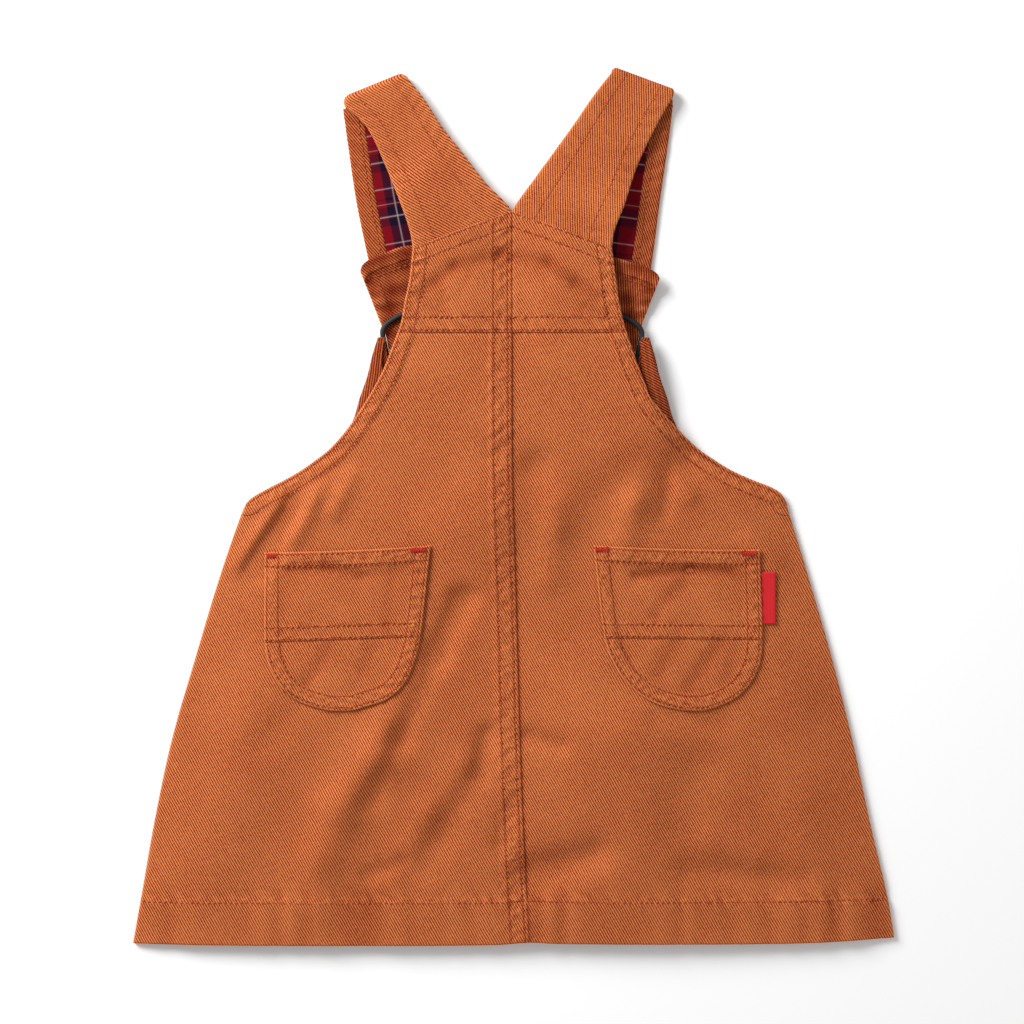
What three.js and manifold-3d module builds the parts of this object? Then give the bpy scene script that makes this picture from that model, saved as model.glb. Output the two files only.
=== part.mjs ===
// A small child's pinafore dress in cotton drill, lying flat on its front with the back facing up.
// Millimetres, +Z up from the table, +X to the right across the back, +Y from hem to shoulders.
// The origin is on the table, under the middle of the dress.
// Each piece of cloth is a closed wall. Its shape comes from short tables of sections, read at each row.

import * as THREE from "three";
import { mergeVertices } from "three/addons/utils/BufferGeometryUtils.js";
import Module from "manifold-3d";

// Thickness of each cloth, and the room left at seams and between layers
const frontCloth = 1.0;
const backCloth = 1.2;
const strapCloth = 1.2;
const liningCloth = 1.0;
const facingCloth = 1.0;
const pocketCloth = 1.2;
const labelCloth = 1.0;
const gap = 0.3;
const halfGap = gap / 2;

// Sewn edges stand a little higher, because the cloth there is folded double
const edgeBand = 7.5;
const seamBand = 8.0;
const bandStep = 1.2;
const bandRise = 0.5;
const hemDepth = 21;
const pocketHem = 6.5;

// How high the layers lie
const frontTop = frontCloth;
const underLoft = 1.6;
const loftReach = 14;
const bibRoom = 2.0;
const bibRoomFromY = 22;
const bibRoomFullY = 42;
const frontOverBuckle = 5.9;
const backOverBuckle = 9.1;
const foldRadius = 2.5;
const backOverShoulder = 2 * foldRadius;
const shoulderFromY = 150;
const shoulderFullY = 195;

// Heights along the dress
const hemY = -217.6;
const hemTopY = hemY + hemDepth;
const hemStepY = hemTopY + bandStep;
const armholeY = 0;
const yokeSeamY = 87;
const bibTopY = 84.75;
const notchFloorY = 66;
const apexY = 147.75;
const chevronY = 129;

// Shoulder straps, their check lining and the buckles
const strapHalf = 15.6;
const liningBorder = 10.3;
const liningInnerBorder = 3;
const wireRadius = 1.3;
const wireHeight = 4.3;
const wireDrop = 0.8;
const frameHalf = 17.5;
const frameCorner = 4;
const frameArch = 5;
const sideBarEnd = 20;
const hookLead = 7;
const hookPull = 9;
const barPlace = 18;
const barRadius = 1.15;
const loopRadius = 4.7;
const loopPlace = 35.6;
const buckleTilt = THREE.MathUtils.degToRad(12);

// Button on the outside of the bib
const buttonPlace = 36;
const buttonRadius = 8.5;
const capThickness = 1.8;
const neckRadius = 2.6;
const buttonSides = 24;

const cottonOrange = "#b8613a";
const checkRed = "#7a1220";
const labelRed = "#c4101f";
const wireBlack = "#26282a";

const cloth = (color) => new THREE.MeshStandardMaterial({ color, roughness: 0.9, metalness: 0 });
const metal = (color) => new THREE.MeshStandardMaterial({ color, roughness: 0.45, metalness: 0.6 });

const { lerp: mix, clamp, smoothstep } = THREE.MathUtils;

// A table of sections: named columns, and one row for each section.
function sections(columns, rows) {
  return rows.map((row) => Object.fromEntries(columns.map((column, i) => [column, row[i]])));
}

// A column's value between the rows of a table, on a smooth curve through them.
function read(table, column, place, key = "y") {
  const last = table.length - 1;
  let i = 0;
  while (i < last - 1 && place > table[i + 1][key]) i += 1;
  const from = table[i];
  const to = table[i + 1];
  const before = table[Math.max(i - 1, 0)];
  const after = table[Math.min(i + 2, last)];
  const span = to[key] - from[key];
  const t = clamp((place - from[key]) / span, 0, 1);
  const slopeFrom = (span * (to[column] - before[column])) / (to[key] - before[key]);
  const slopeTo = (span * (after[column] - from[column])) / (after[key] - from[key]);
  const rise = to[column] - from[column];
  const bend = (slopeFrom - rise) * (1 - t) - (slopeTo - rise) * t;
  return from[column] + rise * t + t * (1 - t) * bend;
}

// The outline of the back: side seams, armholes and yoke sides
const backOutline = sections(["y", "left", "right"], [
  [-217.6, -190.0, 190.2],
  [-196, -186.2, 186.7],
  [-156, -179.2, 177.8],
  [-116, -170.7, 169.2],
  [-76, -159.2, 159.2],
  [-36, -147.2, 147.7],
  [-2, -135.4, 137.4],
  [4, -131.8, 135.6],
  [9, -123.6, 131.0],
  [14, -113.9, 118.8],
  [19, -105.4, 107.9],
  [24, -98.4, 99.9],
  [29, -92.0, 92.6],
  [39, -83.0, 82.1],
  [54, -72.8, 68.9],
  [64, -67.1, 64.7],
  [71, -63.8, 61.8],
  [80, -60.4, 58.8],
  [91, -56.3, 55.2],
  [103, -54.1, 52.5],
  [114, -51.8, 51.0],
  [129, -50.2, 49.0],
]);

// The outline of the front, the same on both sides: hidden under the back but for the bib's edge
const frontOutline = sections(["y", "edge"], [
  [-217.6, 189.5],
  [-196, 185.8],
  [-156, 177.6],
  [-116, 169.0],
  [-76, 158.7],
  [-36, 146.9],
  [-2, 134.9],
  [4, 131.3],
  [9, 123.2],
  [14, 113.3],
  [24, 97.6],
  [34, 85.6],
  [44, 79.9],
  [54, 76.9],
  [65, 73.0],
  [76, 70.3],
  [84.75, 67.6],
]);

// The centre back seam wanders to the right towards the hem
const centreSeam = sections(["y", "x"], [
  [-217.6, 8.0],
  [-171, 5.9],
  [-121, 4.3],
  [-46, 2.3],
  [14, 0.3],
  [87, 0.1],
  [147.75, -0.75],
]);

// The hem's lower edge, across the dress
const hemLine = sections(["x", "y"], [
  [-190, -217.6],
  [-150, -218.4],
  [-60, -218.6],
  [-8, -218.1],
  [8, -217.0],
  [24, -217.6],
  [90, -217.9],
  [150, -217.2],
  [190, -214.8],
]);

// Soft ridges and troughs in the back, each along a line, with its half width and its height
const folds = sections(["fromX", "fromY", "toX", "toY", "width", "height"], [
  [-108, 4, -128, -27, 7, -1.5],
  [-96, 8, -114, -24, 7, 1.3],
  [-84, 16, -97, -18, 7, 0.9],
  [-22, -47, -41, -86, 9, -1.3],
  [-41, -86, -57, -123, 9, -1.5],
  [-57, -123, -67, -154, 10, -1.1],
  [-77, -139, -97, -182, 10, -1.3],
  [-103, -125, -130, -191, 13, 1.4],
  [-27, -140, -42, -176, 10, -1.1],
  [-46, -118, -62, -175, 9, 0.9],
  [17, -184, 43, -172, 11, -1.5],
  [92, -130, 83, -161, 15, -1.0],
  [100, -170, 88, -199, 11, -1.1],
  [142, -178, 137, -199, 11, -1.0],
  [52, -120, 36, -168, 14, 0.9],
  [82, 28, 92, -6, 7, -1.4],
  [103, 8, 143, -42, 9, 1.5],
  [59, 33, 55, -8, 8, -1.1],
  [71, 30, 73, -10, 8, 1.0],
  [38, 58, 11, 26, 9, -1.1],
  [-30, 40, -21, 24, 9, -0.8],
  [-44, 34, -52, -8, 10, 0.8],
]);

// A buckle's own frame: out is away from the middle of the dress, down is towards the hem.
const buckles = {
  left: { side: -1, x: -48.9, y: 93.1 },
  right: { side: 1, x: 47.65, y: 92.4 },
};

function atBuckle(buckle, out, down) {
  const cos = Math.cos(buckleTilt);
  const sin = Math.sin(buckleTilt);
  const x = buckle.x + buckle.side * (out * cos - down * sin);
  const y = buckle.y - out * sin - down * cos;
  return [x, y];
}

// How much of the buckle's height the cloth over it has: 1 over buckle, strap end and button, 0 away from them.
const buckleFlat = 27;
const buckleReach = 49;
const strapEndUp = 31;

function distanceToLine(x, y, from, to) {
  const alongX = to[0] - from[0];
  const alongY = to[1] - from[1];
  const square = alongX * alongX + alongY * alongY;
  const t = clamp(((x - from[0]) * alongX + (y - from[1]) * alongY) / square, 0, 1);
  return Math.hypot(x - from[0] - t * alongX, y - from[1] - t * alongY);
}

function buckleShare(x, y) {
  const buckle = x < 0 ? buckles.left : buckles.right;
  const distance = distanceToLine(x, y, atBuckle(buckle, 0, -strapEndUp), atBuckle(buckle, 0, buttonPlace));
  return 1 - smoothstep(distance, buckleFlat, buckleReach);
}

const frontUnderside = (x, y) => frontOverBuckle * buckleShare(x, y);

// Under a pocket the back is held flatter: 1 under a pocket, 0 beside it.
const pocketPatch = { nearX: 42, farX: 124, bottom: -100, top: -20, fade: 7 };

function underPocket(x, y) {
  const { nearX, farX, bottom, top, fade } = pocketPatch;
  const across = Math.abs(x);
  const acrossShare = smoothstep(across, nearX - fade, nearX) * (1 - smoothstep(across, farX, farX + fade));
  return acrossShare * smoothstep(y, bottom - fade, bottom) * (1 - smoothstep(y, top, top + fade));
}

const foldLeftUnderPocket = 0.25;

function foldHeight(x, y) {
  let height = 0;
  for (const fold of folds) {
    const distance = distanceToLine(x, y, [fold.fromX, fold.fromY], [fold.toX, fold.toY]);
    height += fold.height * Math.exp(-((distance / fold.width) ** 2));
  }
  return height * mix(1, foldLeftUnderPocket, underPocket(x, y));
}

// The underside of the back, its yoke and the straps: low at the side seams and high over the buckles
function backUnderside(x, y) {
  const toLeft = x - read(backOutline, "left", y);
  const toRight = read(backOutline, "right", y) - x;
  const inset = Math.max(Math.min(toLeft, toRight), 0);
  const loft = 1 - Math.exp(-inset / loftReach);
  const rest = frontTop + gap + bibRoom * smoothstep(y, bibRoomFromY, bibRoomFullY);
  const lying = rest + loft * (underLoft + foldHeight(x, y));
  const overBuckle = mix(lying, backOverBuckle, buckleShare(x, y));
  return mix(overBuckle, backOverShoulder, smoothstep(y, shoulderFromY, shoulderFullY));
}

// A closed wall of cloth over a grid. pointAt(i, j, face) gives the point of column i and row j on the under
// face, 0, or the upper face, 1. Columns run to the right and rows upwards as the upper face is seen.
function wall(name, columnCount, rowCount, pointAt, material) {
  const box = new THREE.BoxGeometry(1, 1, 1, columnCount, rowCount, 1);
  box.deleteAttribute("normal");
  box.deleteAttribute("uv");
  const geometry = mergeVertices(box);
  const position = geometry.getAttribute("position");
  for (let n = 0; n < position.count; n += 1) {
    const i = Math.round((position.getX(n) + 0.5) * columnCount);
    const j = Math.round((position.getY(n) + 0.5) * rowCount);
    const face = position.getZ(n) > 0 ? 1 : 0;
    position.setXYZ(n, ...pointAt(i, j, face));
  }
  geometry.computeVertexNormals();
  const mesh = new THREE.Mesh(geometry, material);
  mesh.name = name;
  return mesh;
}

// The place of column i between two edges, with a narrow column where each sewn band steps down.
function columnPlace(i, count, low, high, lowBand, highBand) {
  const inLow = low + lowBand + bandStep;
  const inHigh = high - highBand - bandStep;
  if (i === 0) return low;
  if (i === 1) return low + lowBand;
  if (i === count - 1) return high - highBand;
  if (i === count) return high;
  return mix(inLow, inHigh, (i - 2) / (count - 4));
}

// Rows from one height to another, the first of them left out.
function rowsBetween(from, to, count) {
  return Array.from({ length: count }, (_, n) => mix(from, to, (n + 1) / count));
}

// Rows of the skirt and the back, closer together where the armhole curves
const bendStartY = -10;
const bendEndY = 30;
const lastBodyRowY = 82;
const bodyRows = [
  hemTopY,
  hemStepY,
  ...rowsBetween(hemStepY, bendStartY, 11),
  ...rowsBetween(bendStartY, bendEndY, 8),
  ...rowsBetween(bendEndY, lastBodyRowY, 9),
];

function bodyRow(j, top) {
  if (j === 0) return hemY;
  if (j <= bodyRows.length) return bodyRows[j - 1];
  return top;
}

// A row near the hem follows the hem's own line.
function hemmed(x, y) {
  const share = 1 - smoothstep(y, hemY, hemY + 3 * hemDepth);
  return y + share * (read(hemLine, "y", x, "x") - hemY);
}

const bandHeight = (distance, band) => bandRise * (1 - smoothstep(distance, band, band + bandStep));

// Front, with the bib in one. Its underside is flat on the table and rises over the buckles and buttons.
// The bib's top edge stands out beside each strap end, and dips where the strap's loop lies in it.
const bibColumns = sections(["share", "top"], [
  [0, bibTopY],
  [0.2, bibTopY],
  [0.38, bibTopY],
  [0.42, notchFloorY],
  [0.55, notchFloorY],
  [0.68, notchFloorY],
  [0.78, notchFloorY],
  [0.84, notchFloorY],
  [0.875, 73],
  [0.945, bibTopY],
  [1, bibTopY],
]);
const bibStartY = 24;
const bibBandY = 60;
const frontRows = [
  hemStepY,
  ...rowsBetween(hemStepY, bendStartY, 7),
  ...rowsBetween(bendStartY, bibStartY, 5),
  ...rowsBetween(bibStartY, bibBandY, 7),
];
const bibBandRows = 2;

function frontPoint(i, j, face) {
  const middle = bibColumns.length - 1;
  const side = Math.sign(i - middle);
  const column = bibColumns[Math.abs(i - middle)];
  const beyond = j - frontRows.length;
  const plain = j === 0 ? hemY : frontRows[Math.min(j, frontRows.length) - 1];
  const row = beyond > 0 ? mix(bibBandY, column.top, beyond / bibBandRows) : plain;
  const x = side * column.share * read(frontOutline, "edge", row);
  const y = hemmed(x, row);
  return [x, y, frontUnderside(x, y) + face * frontCloth];
}

const front = wall(
  "front_with_bib",
  2 * (bibColumns.length - 1),
  frontRows.length + bibBandRows,
  frontPoint,
  cloth(cottonOrange),
);

// Facing strips on the inside of the bib's edges, where the armhole leaves them in sight
const facingTable = sections(["y", "width"], [
  [44, 6.5],
  [47, 6.9],
  [50, 7.3],
  [53, 7.6],
  [56, 7.8],
  [59, 8.0],
  [62, 8.0],
  [65, 7.6],
  [68, 4.2],
  [71, 2.7],
  [77, 1.9],
  [83, 0.6],
]);

const facingLift = 0.45;
const facingColumns = 2;

function facing(name, side) {
  const pointAt = (i, j, face) => {
    const row = facingTable[j];
    const edge = read(frontOutline, "edge", row.y) - gap;
    const inward = side < 0 ? i / facingColumns : 1 - i / facingColumns;
    const x = side * (edge - inward * row.width);
    const z = frontUnderside(x, row.y) + frontCloth + facingLift + face * facingCloth;
    return [x, row.y, z];
  };
  return wall(name, facingColumns, facingTable.length - 1, pointAt, cloth(cottonOrange));
}

// The two halves of the back below the yoke. The left half's folded edge laps the centre seam.
const backColumns = 16;

function backHalf(name, side) {
  const top = yokeSeamY - halfGap;
  const pointAt = (i, j, face) => {
    const row = bodyRow(j, top);
    const seam = read(centreSeam, "x", row) + side * halfGap;
    const edge = read(backOutline, side < 0 ? "left" : "right", row);
    const low = Math.min(seam, edge);
    const high = Math.max(seam, edge);
    const lowBand = side < 0 ? edgeBand : seamBand;
    const highBand = side < 0 ? seamBand : edgeBand;
    const x = columnPlace(i, backColumns, low, high, lowBand, highBand);
    const y = hemmed(x, row);
    const lapped = side < 0 ? bandHeight(seam - x, seamBand) : 0;
    const bound = row > armholeY ? bandHeight(Math.abs(edge - x), edgeBand) : 0;
    const hem = row < hemStepY ? bandRise : 0;
    const z = backUnderside(x, y) + face * (backCloth + Math.max(lapped, bound, hem));
    return [x, y, z];
  };
  return wall(name, backColumns, bodyRows.length + 1, pointAt, cloth(cottonOrange));
}

// The yoke halves, from the yoke seam up to the chevron where the straps are sewn on
const yokeColumns = 8;
const yokeRows = 6;

function yokeHalf(name, side) {
  const bottom = yokeSeamY + halfGap;
  const pointAt = (i, j, face) => {
    const across = side < 0 ? 1 - i / yokeColumns : i / yokeColumns;
    const top = mix(apexY, chevronY, across) - halfGap;
    const y = mix(bottom, top, j / yokeRows);
    const seam = read(centreSeam, "x", y) + side * halfGap;
    const edge = read(backOutline, side < 0 ? "left" : "right", Math.min(y, chevronY));
    const x = mix(seam, edge, across);
    return [x, y, backUnderside(x, y) + face * (backCloth + bandRise)];
  };
  return wall(name, yokeColumns, yokeRows, pointAt, cloth(cottonOrange));
}

// Both edges of each strap on the back, from the chevron to the fold at the shoulder
const backStraps = {
  left: sections(["outerX", "outerY", "innerX", "innerY"], [
    [-50.2, 129.1, -0.95, 147.9],
    [-51.8, 138, -14.0, 162.0],
    [-56.7, 152.3, -25.2, 176.6],
    [-63.7, 169.8, -36.0, 190.4],
    [-72.7, 188.8, -44.7, 204],
    [-84.8, 205.4, -54.0, 217.8],
  ]),
  right: sections(["outerX", "outerY", "innerX", "innerY"], [
    [49.0, 129.1, -0.55, 147.9],
    [50.4, 138, 9.7, 162.8],
    [55.2, 150.3, 20.2, 177.3],
    [61.2, 168.8, 29.7, 190.5],
    [69.7, 187.3, 39.2, 204.4],
    [80.9, 208.7, 49.9, 220.2],
  ]),
};

// The outer edge of each strap on the front, from the shoulder to just above the buckle
const frontStraps = {
  left: sections(["x", "y"], [
    [-85.9, 198.0],
    [-82.4, 178],
    [-78.8, 154],
    [-74.8, 134],
    [-71.2, 118],
  ]),
  right: sections(["x", "y"], [
    [79.9, 201.0],
    [76.8, 178],
    [73.3, 154],
    [70.8, 134],
    [68.3, 117],
  ]),
};
const frontStrapSlant = { left: [0.985, 0.17], right: [-0.99, 0.137] };
const strapWidth = 2 * strapHalf;

// The strap under the buckle, then its end that comes back up over the bar, in the buckle's own frame
const underBuckle = sections(["out", "in", "down", "z"], [
  [15.8, -15.4, -8, 0.6],
  [15.6, -15.6, 4, 0.6],
  [15.6, -15.6, 12, 1.2],
]);
const overBuckle = {
  left: sections(["out", "in", "down", "z"], [
    [15.6, -15.6, 11, 5.0],
    [15.8, -15.6, 4, 2.35],
    [17.4, -15.0, -3, 2.1],
    [18.4, -13.9, -9, 2.3],
  ]),
  right: sections(["out", "in", "down", "z"], [
    [15.6, -15.6, 11, 5.0],
    [15.6, -15.6, 4, 2.35],
    [16.4, -15.2, -3, 2.1],
    [17.4, -14.4, -9, 2.3],
  ]),
};
const strapEnds = {
  left: sections(["out", "outDown", "in", "inDown", "z"], [
    [19.6, -16.5, -12.2, -20.0, 3.7],
    [21.0, -25, -10.6, -29.2, 4.3],
    [21.2, -26, -10.4, -30.4, 4.5],
    [22.0, -31.2, -9.4, -35.9, 5.0],
  ]),
  right: sections(["out", "outDown", "in", "inDown", "z"], [
    [18.2, -14.5, -13.2, -17.4, 3.7],
    [19.4, -21.5, -11.8, -24.6, 4.2],
    [19.6, -22.5, -11.6, -25.7, 4.4],
    [20.3, -27.7, -10.5, -30.8, 5.0],
  ]),
};
const strapEndHem = 0.7;
const plainEndRows = 2;
const turnSteps = 6;

// One row of a strap: its outer and inner edge in plan, its height, and the way its outside faces.
function strapRow(outer, inner, height, facingWay, thickness = strapCloth) {
  return { outer, inner, height: typeof height === "number" ? () => height : height, facingWay, thickness };
}

// Rows of a strap round a half turn, from one layer to the other, about an axis at the given height.
function turnRows(outer, inner, away, radius, height, startAngle) {
  const rows = [];
  for (let n = 0; n <= turnSteps; n += 1) {
    const angle = startAngle + (Math.PI * n) / turnSteps;
    const reach = Math.sin(angle);
    const rise = Math.cos(angle);
    const shift = [away[0] * radius * Math.abs(reach), away[1] * radius * Math.abs(reach)];
    const moved = (edge) => [edge[0] + shift[0], edge[1] + shift[1]];
    const way = [away[0] * Math.abs(reach), away[1] * Math.abs(reach), rise];
    rows.push(strapRow(moved(outer), moved(inner), height + radius * rise, way));
  }
  return rows;
}

function strapRows(which) {
  const buckle = buckles[which];
  const back = backStraps[which];
  const up = [0, 0, 1];
  const down = [0, 0, -1];
  const rows = [];
  for (const row of back.slice(0, -1)) {
    const height = (x, y) => backUnderside(x, y) + strapCloth / 2;
    rows.push(strapRow([row.outerX, row.outerY], [row.innerX, row.innerY], height, up));
  }
  const fold = back[back.length - 1];
  const length = Math.hypot(fold.innerX - fold.outerX, fold.innerY - fold.outerY);
  const away = [
    (buckle.side * (fold.innerY - fold.outerY)) / length,
    (-buckle.side * (fold.innerX - fold.outerX)) / length,
  ];
  const setBack = foldRadius + strapCloth / 2;
  const foldOuter = [fold.outerX - setBack * away[0], fold.outerY - setBack * away[1]];
  const foldInner = [fold.innerX - setBack * away[0], fold.innerY - setBack * away[1]];
  rows.push(...turnRows(foldOuter, foldInner, away, foldRadius, strapCloth / 2 + foldRadius, 0));
  for (const row of frontStraps[which]) {
    const slant = frontStrapSlant[which];
    const inner = [row.x + slant[0] * strapWidth, row.y + slant[1] * strapWidth];
    rows.push(strapRow([row.x, row.y], inner, strapCloth / 2, down));
  }
  for (const row of underBuckle) {
    rows.push(strapRow(atBuckle(buckle, row.out, row.down), atBuckle(buckle, row.in, row.down), row.z, down));
  }
  const barOuter = atBuckle(buckle, strapHalf, barPlace);
  const barInner = atBuckle(buckle, -strapHalf, barPlace);
  const towardsHem = [-buckle.side * Math.sin(buckleTilt), -Math.cos(buckleTilt)];
  const wrap = wireRadius + gap + strapCloth / 2;
  rows.push(...turnRows(barOuter, barInner, towardsHem, wrap, wireHeight, Math.PI));
  for (const row of overBuckle[which]) {
    rows.push(strapRow(atBuckle(buckle, row.out, row.down), atBuckle(buckle, row.in, row.down), row.z, up));
  }
  strapEnds[which].forEach((row, n) => {
    const thickness = n < plainEndRows ? strapCloth : strapCloth + strapEndHem;
    const outer = atBuckle(buckle, row.out, row.outDown);
    const inner = atBuckle(buckle, row.in, row.inDown);
    rows.push(strapRow(outer, inner, row.z, up, thickness));
  });
  return rows;
}

const strapColumns = 6;

function strap(name, which) {
  const rows = strapRows(which);
  const pointAt = (i, j, face) => {
    const row = rows[j];
    const across = which === "left" ? i / strapColumns : 1 - i / strapColumns;
    const x = mix(row.outer[0], row.inner[0], across);
    const y = mix(row.outer[1], row.inner[1], across);
    const z = row.height(x, y);
    const half = (face - 0.5) * row.thickness;
    return [x + half * row.facingWay[0], y + half * row.facingWay[1], z + half * row.facingWay[2]];
  };
  return wall(name, strapColumns, rows.length - 1, pointAt, cloth(cottonOrange));
}

// Check lining on the inside of each front strap, between its turned edges
const liningRows = 6;
const liningTop = { left: 196, right: 198 };
const liningEnd = { left: 121, right: 119.5 };

function lining(name, which) {
  const side = buckles[which].side;
  const slant = frontStrapSlant[which];
  const pointAt = (i, j, face) => {
    const share = side < 0 ? i : 1 - i;
    const inset = mix(liningBorder, strapWidth - liningInnerBorder, share);
    const along = j / liningRows;
    const edgeY = mix(liningEnd[which], liningTop[which], along);
    const table = [...frontStraps[which]].reverse();
    const x = read(table, "x", edgeY) + slant[0] * inset;
    const y = edgeY + slant[1] * inset;
    return [x, y, strapCloth + gap + face * liningCloth];
  };
  return wall(name, 1, liningRows, pointAt, cloth(checkRed));
}

// Patch pockets, each of an upper and a lower piece, with a hemmed mouth
const pocketTables = {
  left: sections(["y", "left", "right"], [
    [-101.5, -91.6, -80.8],
    [-99.3, -100.3, -73.6],
    [-96.3, -107.8, -64.6],
    [-92.3, -113.3, -58.6],
    [-86.3, -118.3, -53.4],
    [-78.8, -121.8, -49.9],
    [-71.3, -123.7, -47.6],
    [-63.3, -124.2, -45.9],
    [-55, -124.3, -44.9],
    [-42, -124.3, -43.5],
    [-28.2, -124.3, -42.1],
    [-27, -124.3, -42.0],
    [-20.5, -124.3, -41.2],
  ]),
  right: sections(["y", "left", "right"], [
    [-101.3, 84.7, 95.2],
    [-99.3, 75.8, 101.4],
    [-96.3, 68.2, 108.4],
    [-92.3, 61.8, 113.9],
    [-86.3, 55.3, 118.9],
    [-78.8, 50.3, 122.4],
    [-71.3, 46.9, 123.8],
    [-63.3, 44.9, 124.1],
    [-55, 43.6, 124.0],
    [-42, 42.2, 123.6],
    [-27.7, 40.6, 123.1],
    [-26.5, 40.5, 123.1],
    [-20.0, 39.8, 122.8],
  ]),
};
const pocketMouth = { left: [-22.2, -18.8], right: [-18.8, -20.8] };
const pocketSeamRow = 7;
const pocketColumns = 8;
const pocketBand = 6.5;
const pocketLift = 0.45;
const mouthOpen = 0.7;
const mouthReach = 16;
const gapeFrom = 3;
const gapeFull = 20;
const bandShareAtFoot = 0.25;

function pocketPiece(name, which, firstRow, lastRow) {
  const rows = pocketTables[which];
  const [leftMouth, rightMouth] = pocketMouth[which];
  const low = rows[firstRow].y + (firstRow === pocketSeamRow ? halfGap : 0);
  const high = rows[lastRow].y - (lastRow === pocketSeamRow ? halfGap : 0);
  const pointAt = (i, j, face) => {
    const row = rows[firstRow + j];
    const level = clamp(row.y, low, high);
    const band = Math.min(pocketBand, (row.right - row.left) * bandShareAtFoot);
    const x = columnPlace(i, pocketColumns, row.left, row.right, band, band);
    const share = (x - row.left) / (row.right - row.left);
    const top = rows[rows.length - 1];
    const slope = mix(leftMouth, rightMouth, share) - top.y;
    const y = level + slope * smoothstep(level, rows[pocketSeamRow].y, top.y);
    const toSide = Math.min(x - row.left, row.right - x);
    const toMouth = top.y - level;
    const gape = mouthOpen * (1 - smoothstep(toMouth, 0, mouthReach)) * smoothstep(toSide, gapeFrom, gapeFull);
    const raised = Math.max(bandHeight(toSide, band), toMouth < pocketHem + bandStep / 2 ? bandRise : 0);
    const lap = backUnderside(x, y) + backCloth + pocketLift + gape;
    return [x, y, lap + face * (pocketCloth + raised)];
  };
  return wall(name, pocketColumns, lastRow - firstRow, pointAt, cloth(cottonOrange));
}

// A small folded tab, sewn into the side of the right pocket
const tabRows = 3;
const tab = { left: 124.4, right: 130.9, bottom: -58.2, top: -32.2 };

function labelTab(name) {
  const pointAt = (i, j, face) => {
    const x = mix(tab.left, tab.right, i);
    const y = mix(tab.bottom, tab.top, j / tabRows);
    return [x, y, backUnderside(x, y) + backCloth + gap + face * labelCloth];
  };
  return wall(name, 1, tabRows, pointAt, cloth(labelRed));
}

// The buckle's outline in its own frame: an arched top bar, two side bars, and a loop that hooks on the button
function buckleOutline() {
  const lead = frameHalf - frameCorner;
  const cornerDrop = -frameArch * (1 - (lead / frameHalf) ** 2);
  const archSlope = (2 * frameArch * lead) / frameHalf ** 2;
  const archControl = cornerDrop - archSlope * lead;
  const path = new THREE.Path();
  path.moveTo(-frameHalf, frameCorner);
  path.quadraticCurveTo(-frameHalf, 0, -lead, cornerDrop);
  path.quadraticCurveTo(0, archControl, lead, cornerDrop);
  path.quadraticCurveTo(frameHalf, 0, frameHalf, frameCorner);
  path.lineTo(frameHalf, sideBarEnd);
  const leadDown = sideBarEnd + hookLead;
  const pullDown = loopPlace - hookPull;
  path.bezierCurveTo(frameHalf, leadDown, loopRadius, pullDown, loopRadius, loopPlace);
  path.absarc(0, loopPlace, loopRadius, 0, Math.PI, false);
  path.bezierCurveTo(-loopRadius, pullDown, -frameHalf, leadDown, -frameHalf, sideBarEnd);
  path.lineTo(-frameHalf, frameCorner);
  return path;
}

// A round wire along the closed outline: a torus, each ring of which is moved to its place on the path.
const wireRings = 60;
const wireSides = 8;
const ringRadius = 2;

function bentWire(buckle) {
  const path = buckleOutline();
  const torus = new THREE.TorusGeometry(ringRadius, 1, wireSides, wireRings);
  torus.deleteAttribute("normal");
  torus.deleteAttribute("uv");
  const geometry = mergeVertices(torus);
  const position = geometry.getAttribute("position");
  for (let n = 0; n < position.count; n += 1) {
    const turn = Math.atan2(position.getY(n), position.getX(n)) / (2 * Math.PI);
    const place = (turn + 1) % 1;
    const sideways = Math.hypot(position.getX(n), position.getY(n)) - ringRadius;
    const centre = path.getPointAt(place);
    const tangent = path.getTangentAt(place);
    const out = centre.x + wireRadius * sideways * tangent.y;
    const down = centre.y - wireRadius * sideways * tangent.x;
    const drop = wireDrop * smoothstep(centre.y, sideBarEnd, loopPlace);
    const [x, y] = atBuckle(buckle, out, down);
    position.setXYZ(n, x, y, wireHeight - drop + wireRadius * position.getZ(n));
  }
  return geometry;
}

function barAcross(buckle) {
  const bar = new THREE.CylinderGeometry(barRadius, barRadius, 2 * frameHalf, wireSides);
  bar.deleteAttribute("normal");
  bar.deleteAttribute("uv");
  const [x, y] = atBuckle(buckle, 0, barPlace);
  const turn = new THREE.Matrix4().makeRotationZ(Math.PI / 2 - buckle.side * buckleTilt);
  turn.setPosition(x, y, wireHeight);
  return mergeVertices(bar.applyMatrix4(turn));
}

const wasm = await Module();
wasm.setup();

// A solid of a closed geometry, its faces turned outwards if they point in.
function solidOf(geometry) {
  const vertProperties = new Float32Array(geometry.getAttribute("position").array);
  const triVerts = new Uint32Array(geometry.index.array);
  const solid = new wasm.Manifold(new wasm.Mesh({ numProp: 3, vertProperties, triVerts }));
  if (solid.volume() > 0) return solid;
  triVerts.reverse();
  return new wasm.Manifold(new wasm.Mesh({ numProp: 3, vertProperties, triVerts }));
}

function buckleOf(name, which) {
  const joined = solidOf(bentWire(buckles[which])).add(solidOf(barAcross(buckles[which])));
  const made = joined.getMesh();
  const geometry = new THREE.BufferGeometry();
  geometry.setAttribute("position", new THREE.BufferAttribute(made.vertProperties, 3));
  geometry.setIndex(new THREE.BufferAttribute(made.triVerts, 1));
  geometry.computeVertexNormals();
  const mesh = new THREE.Mesh(geometry, metal(wireBlack));
  mesh.name = name;
  return mesh;
}

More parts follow.
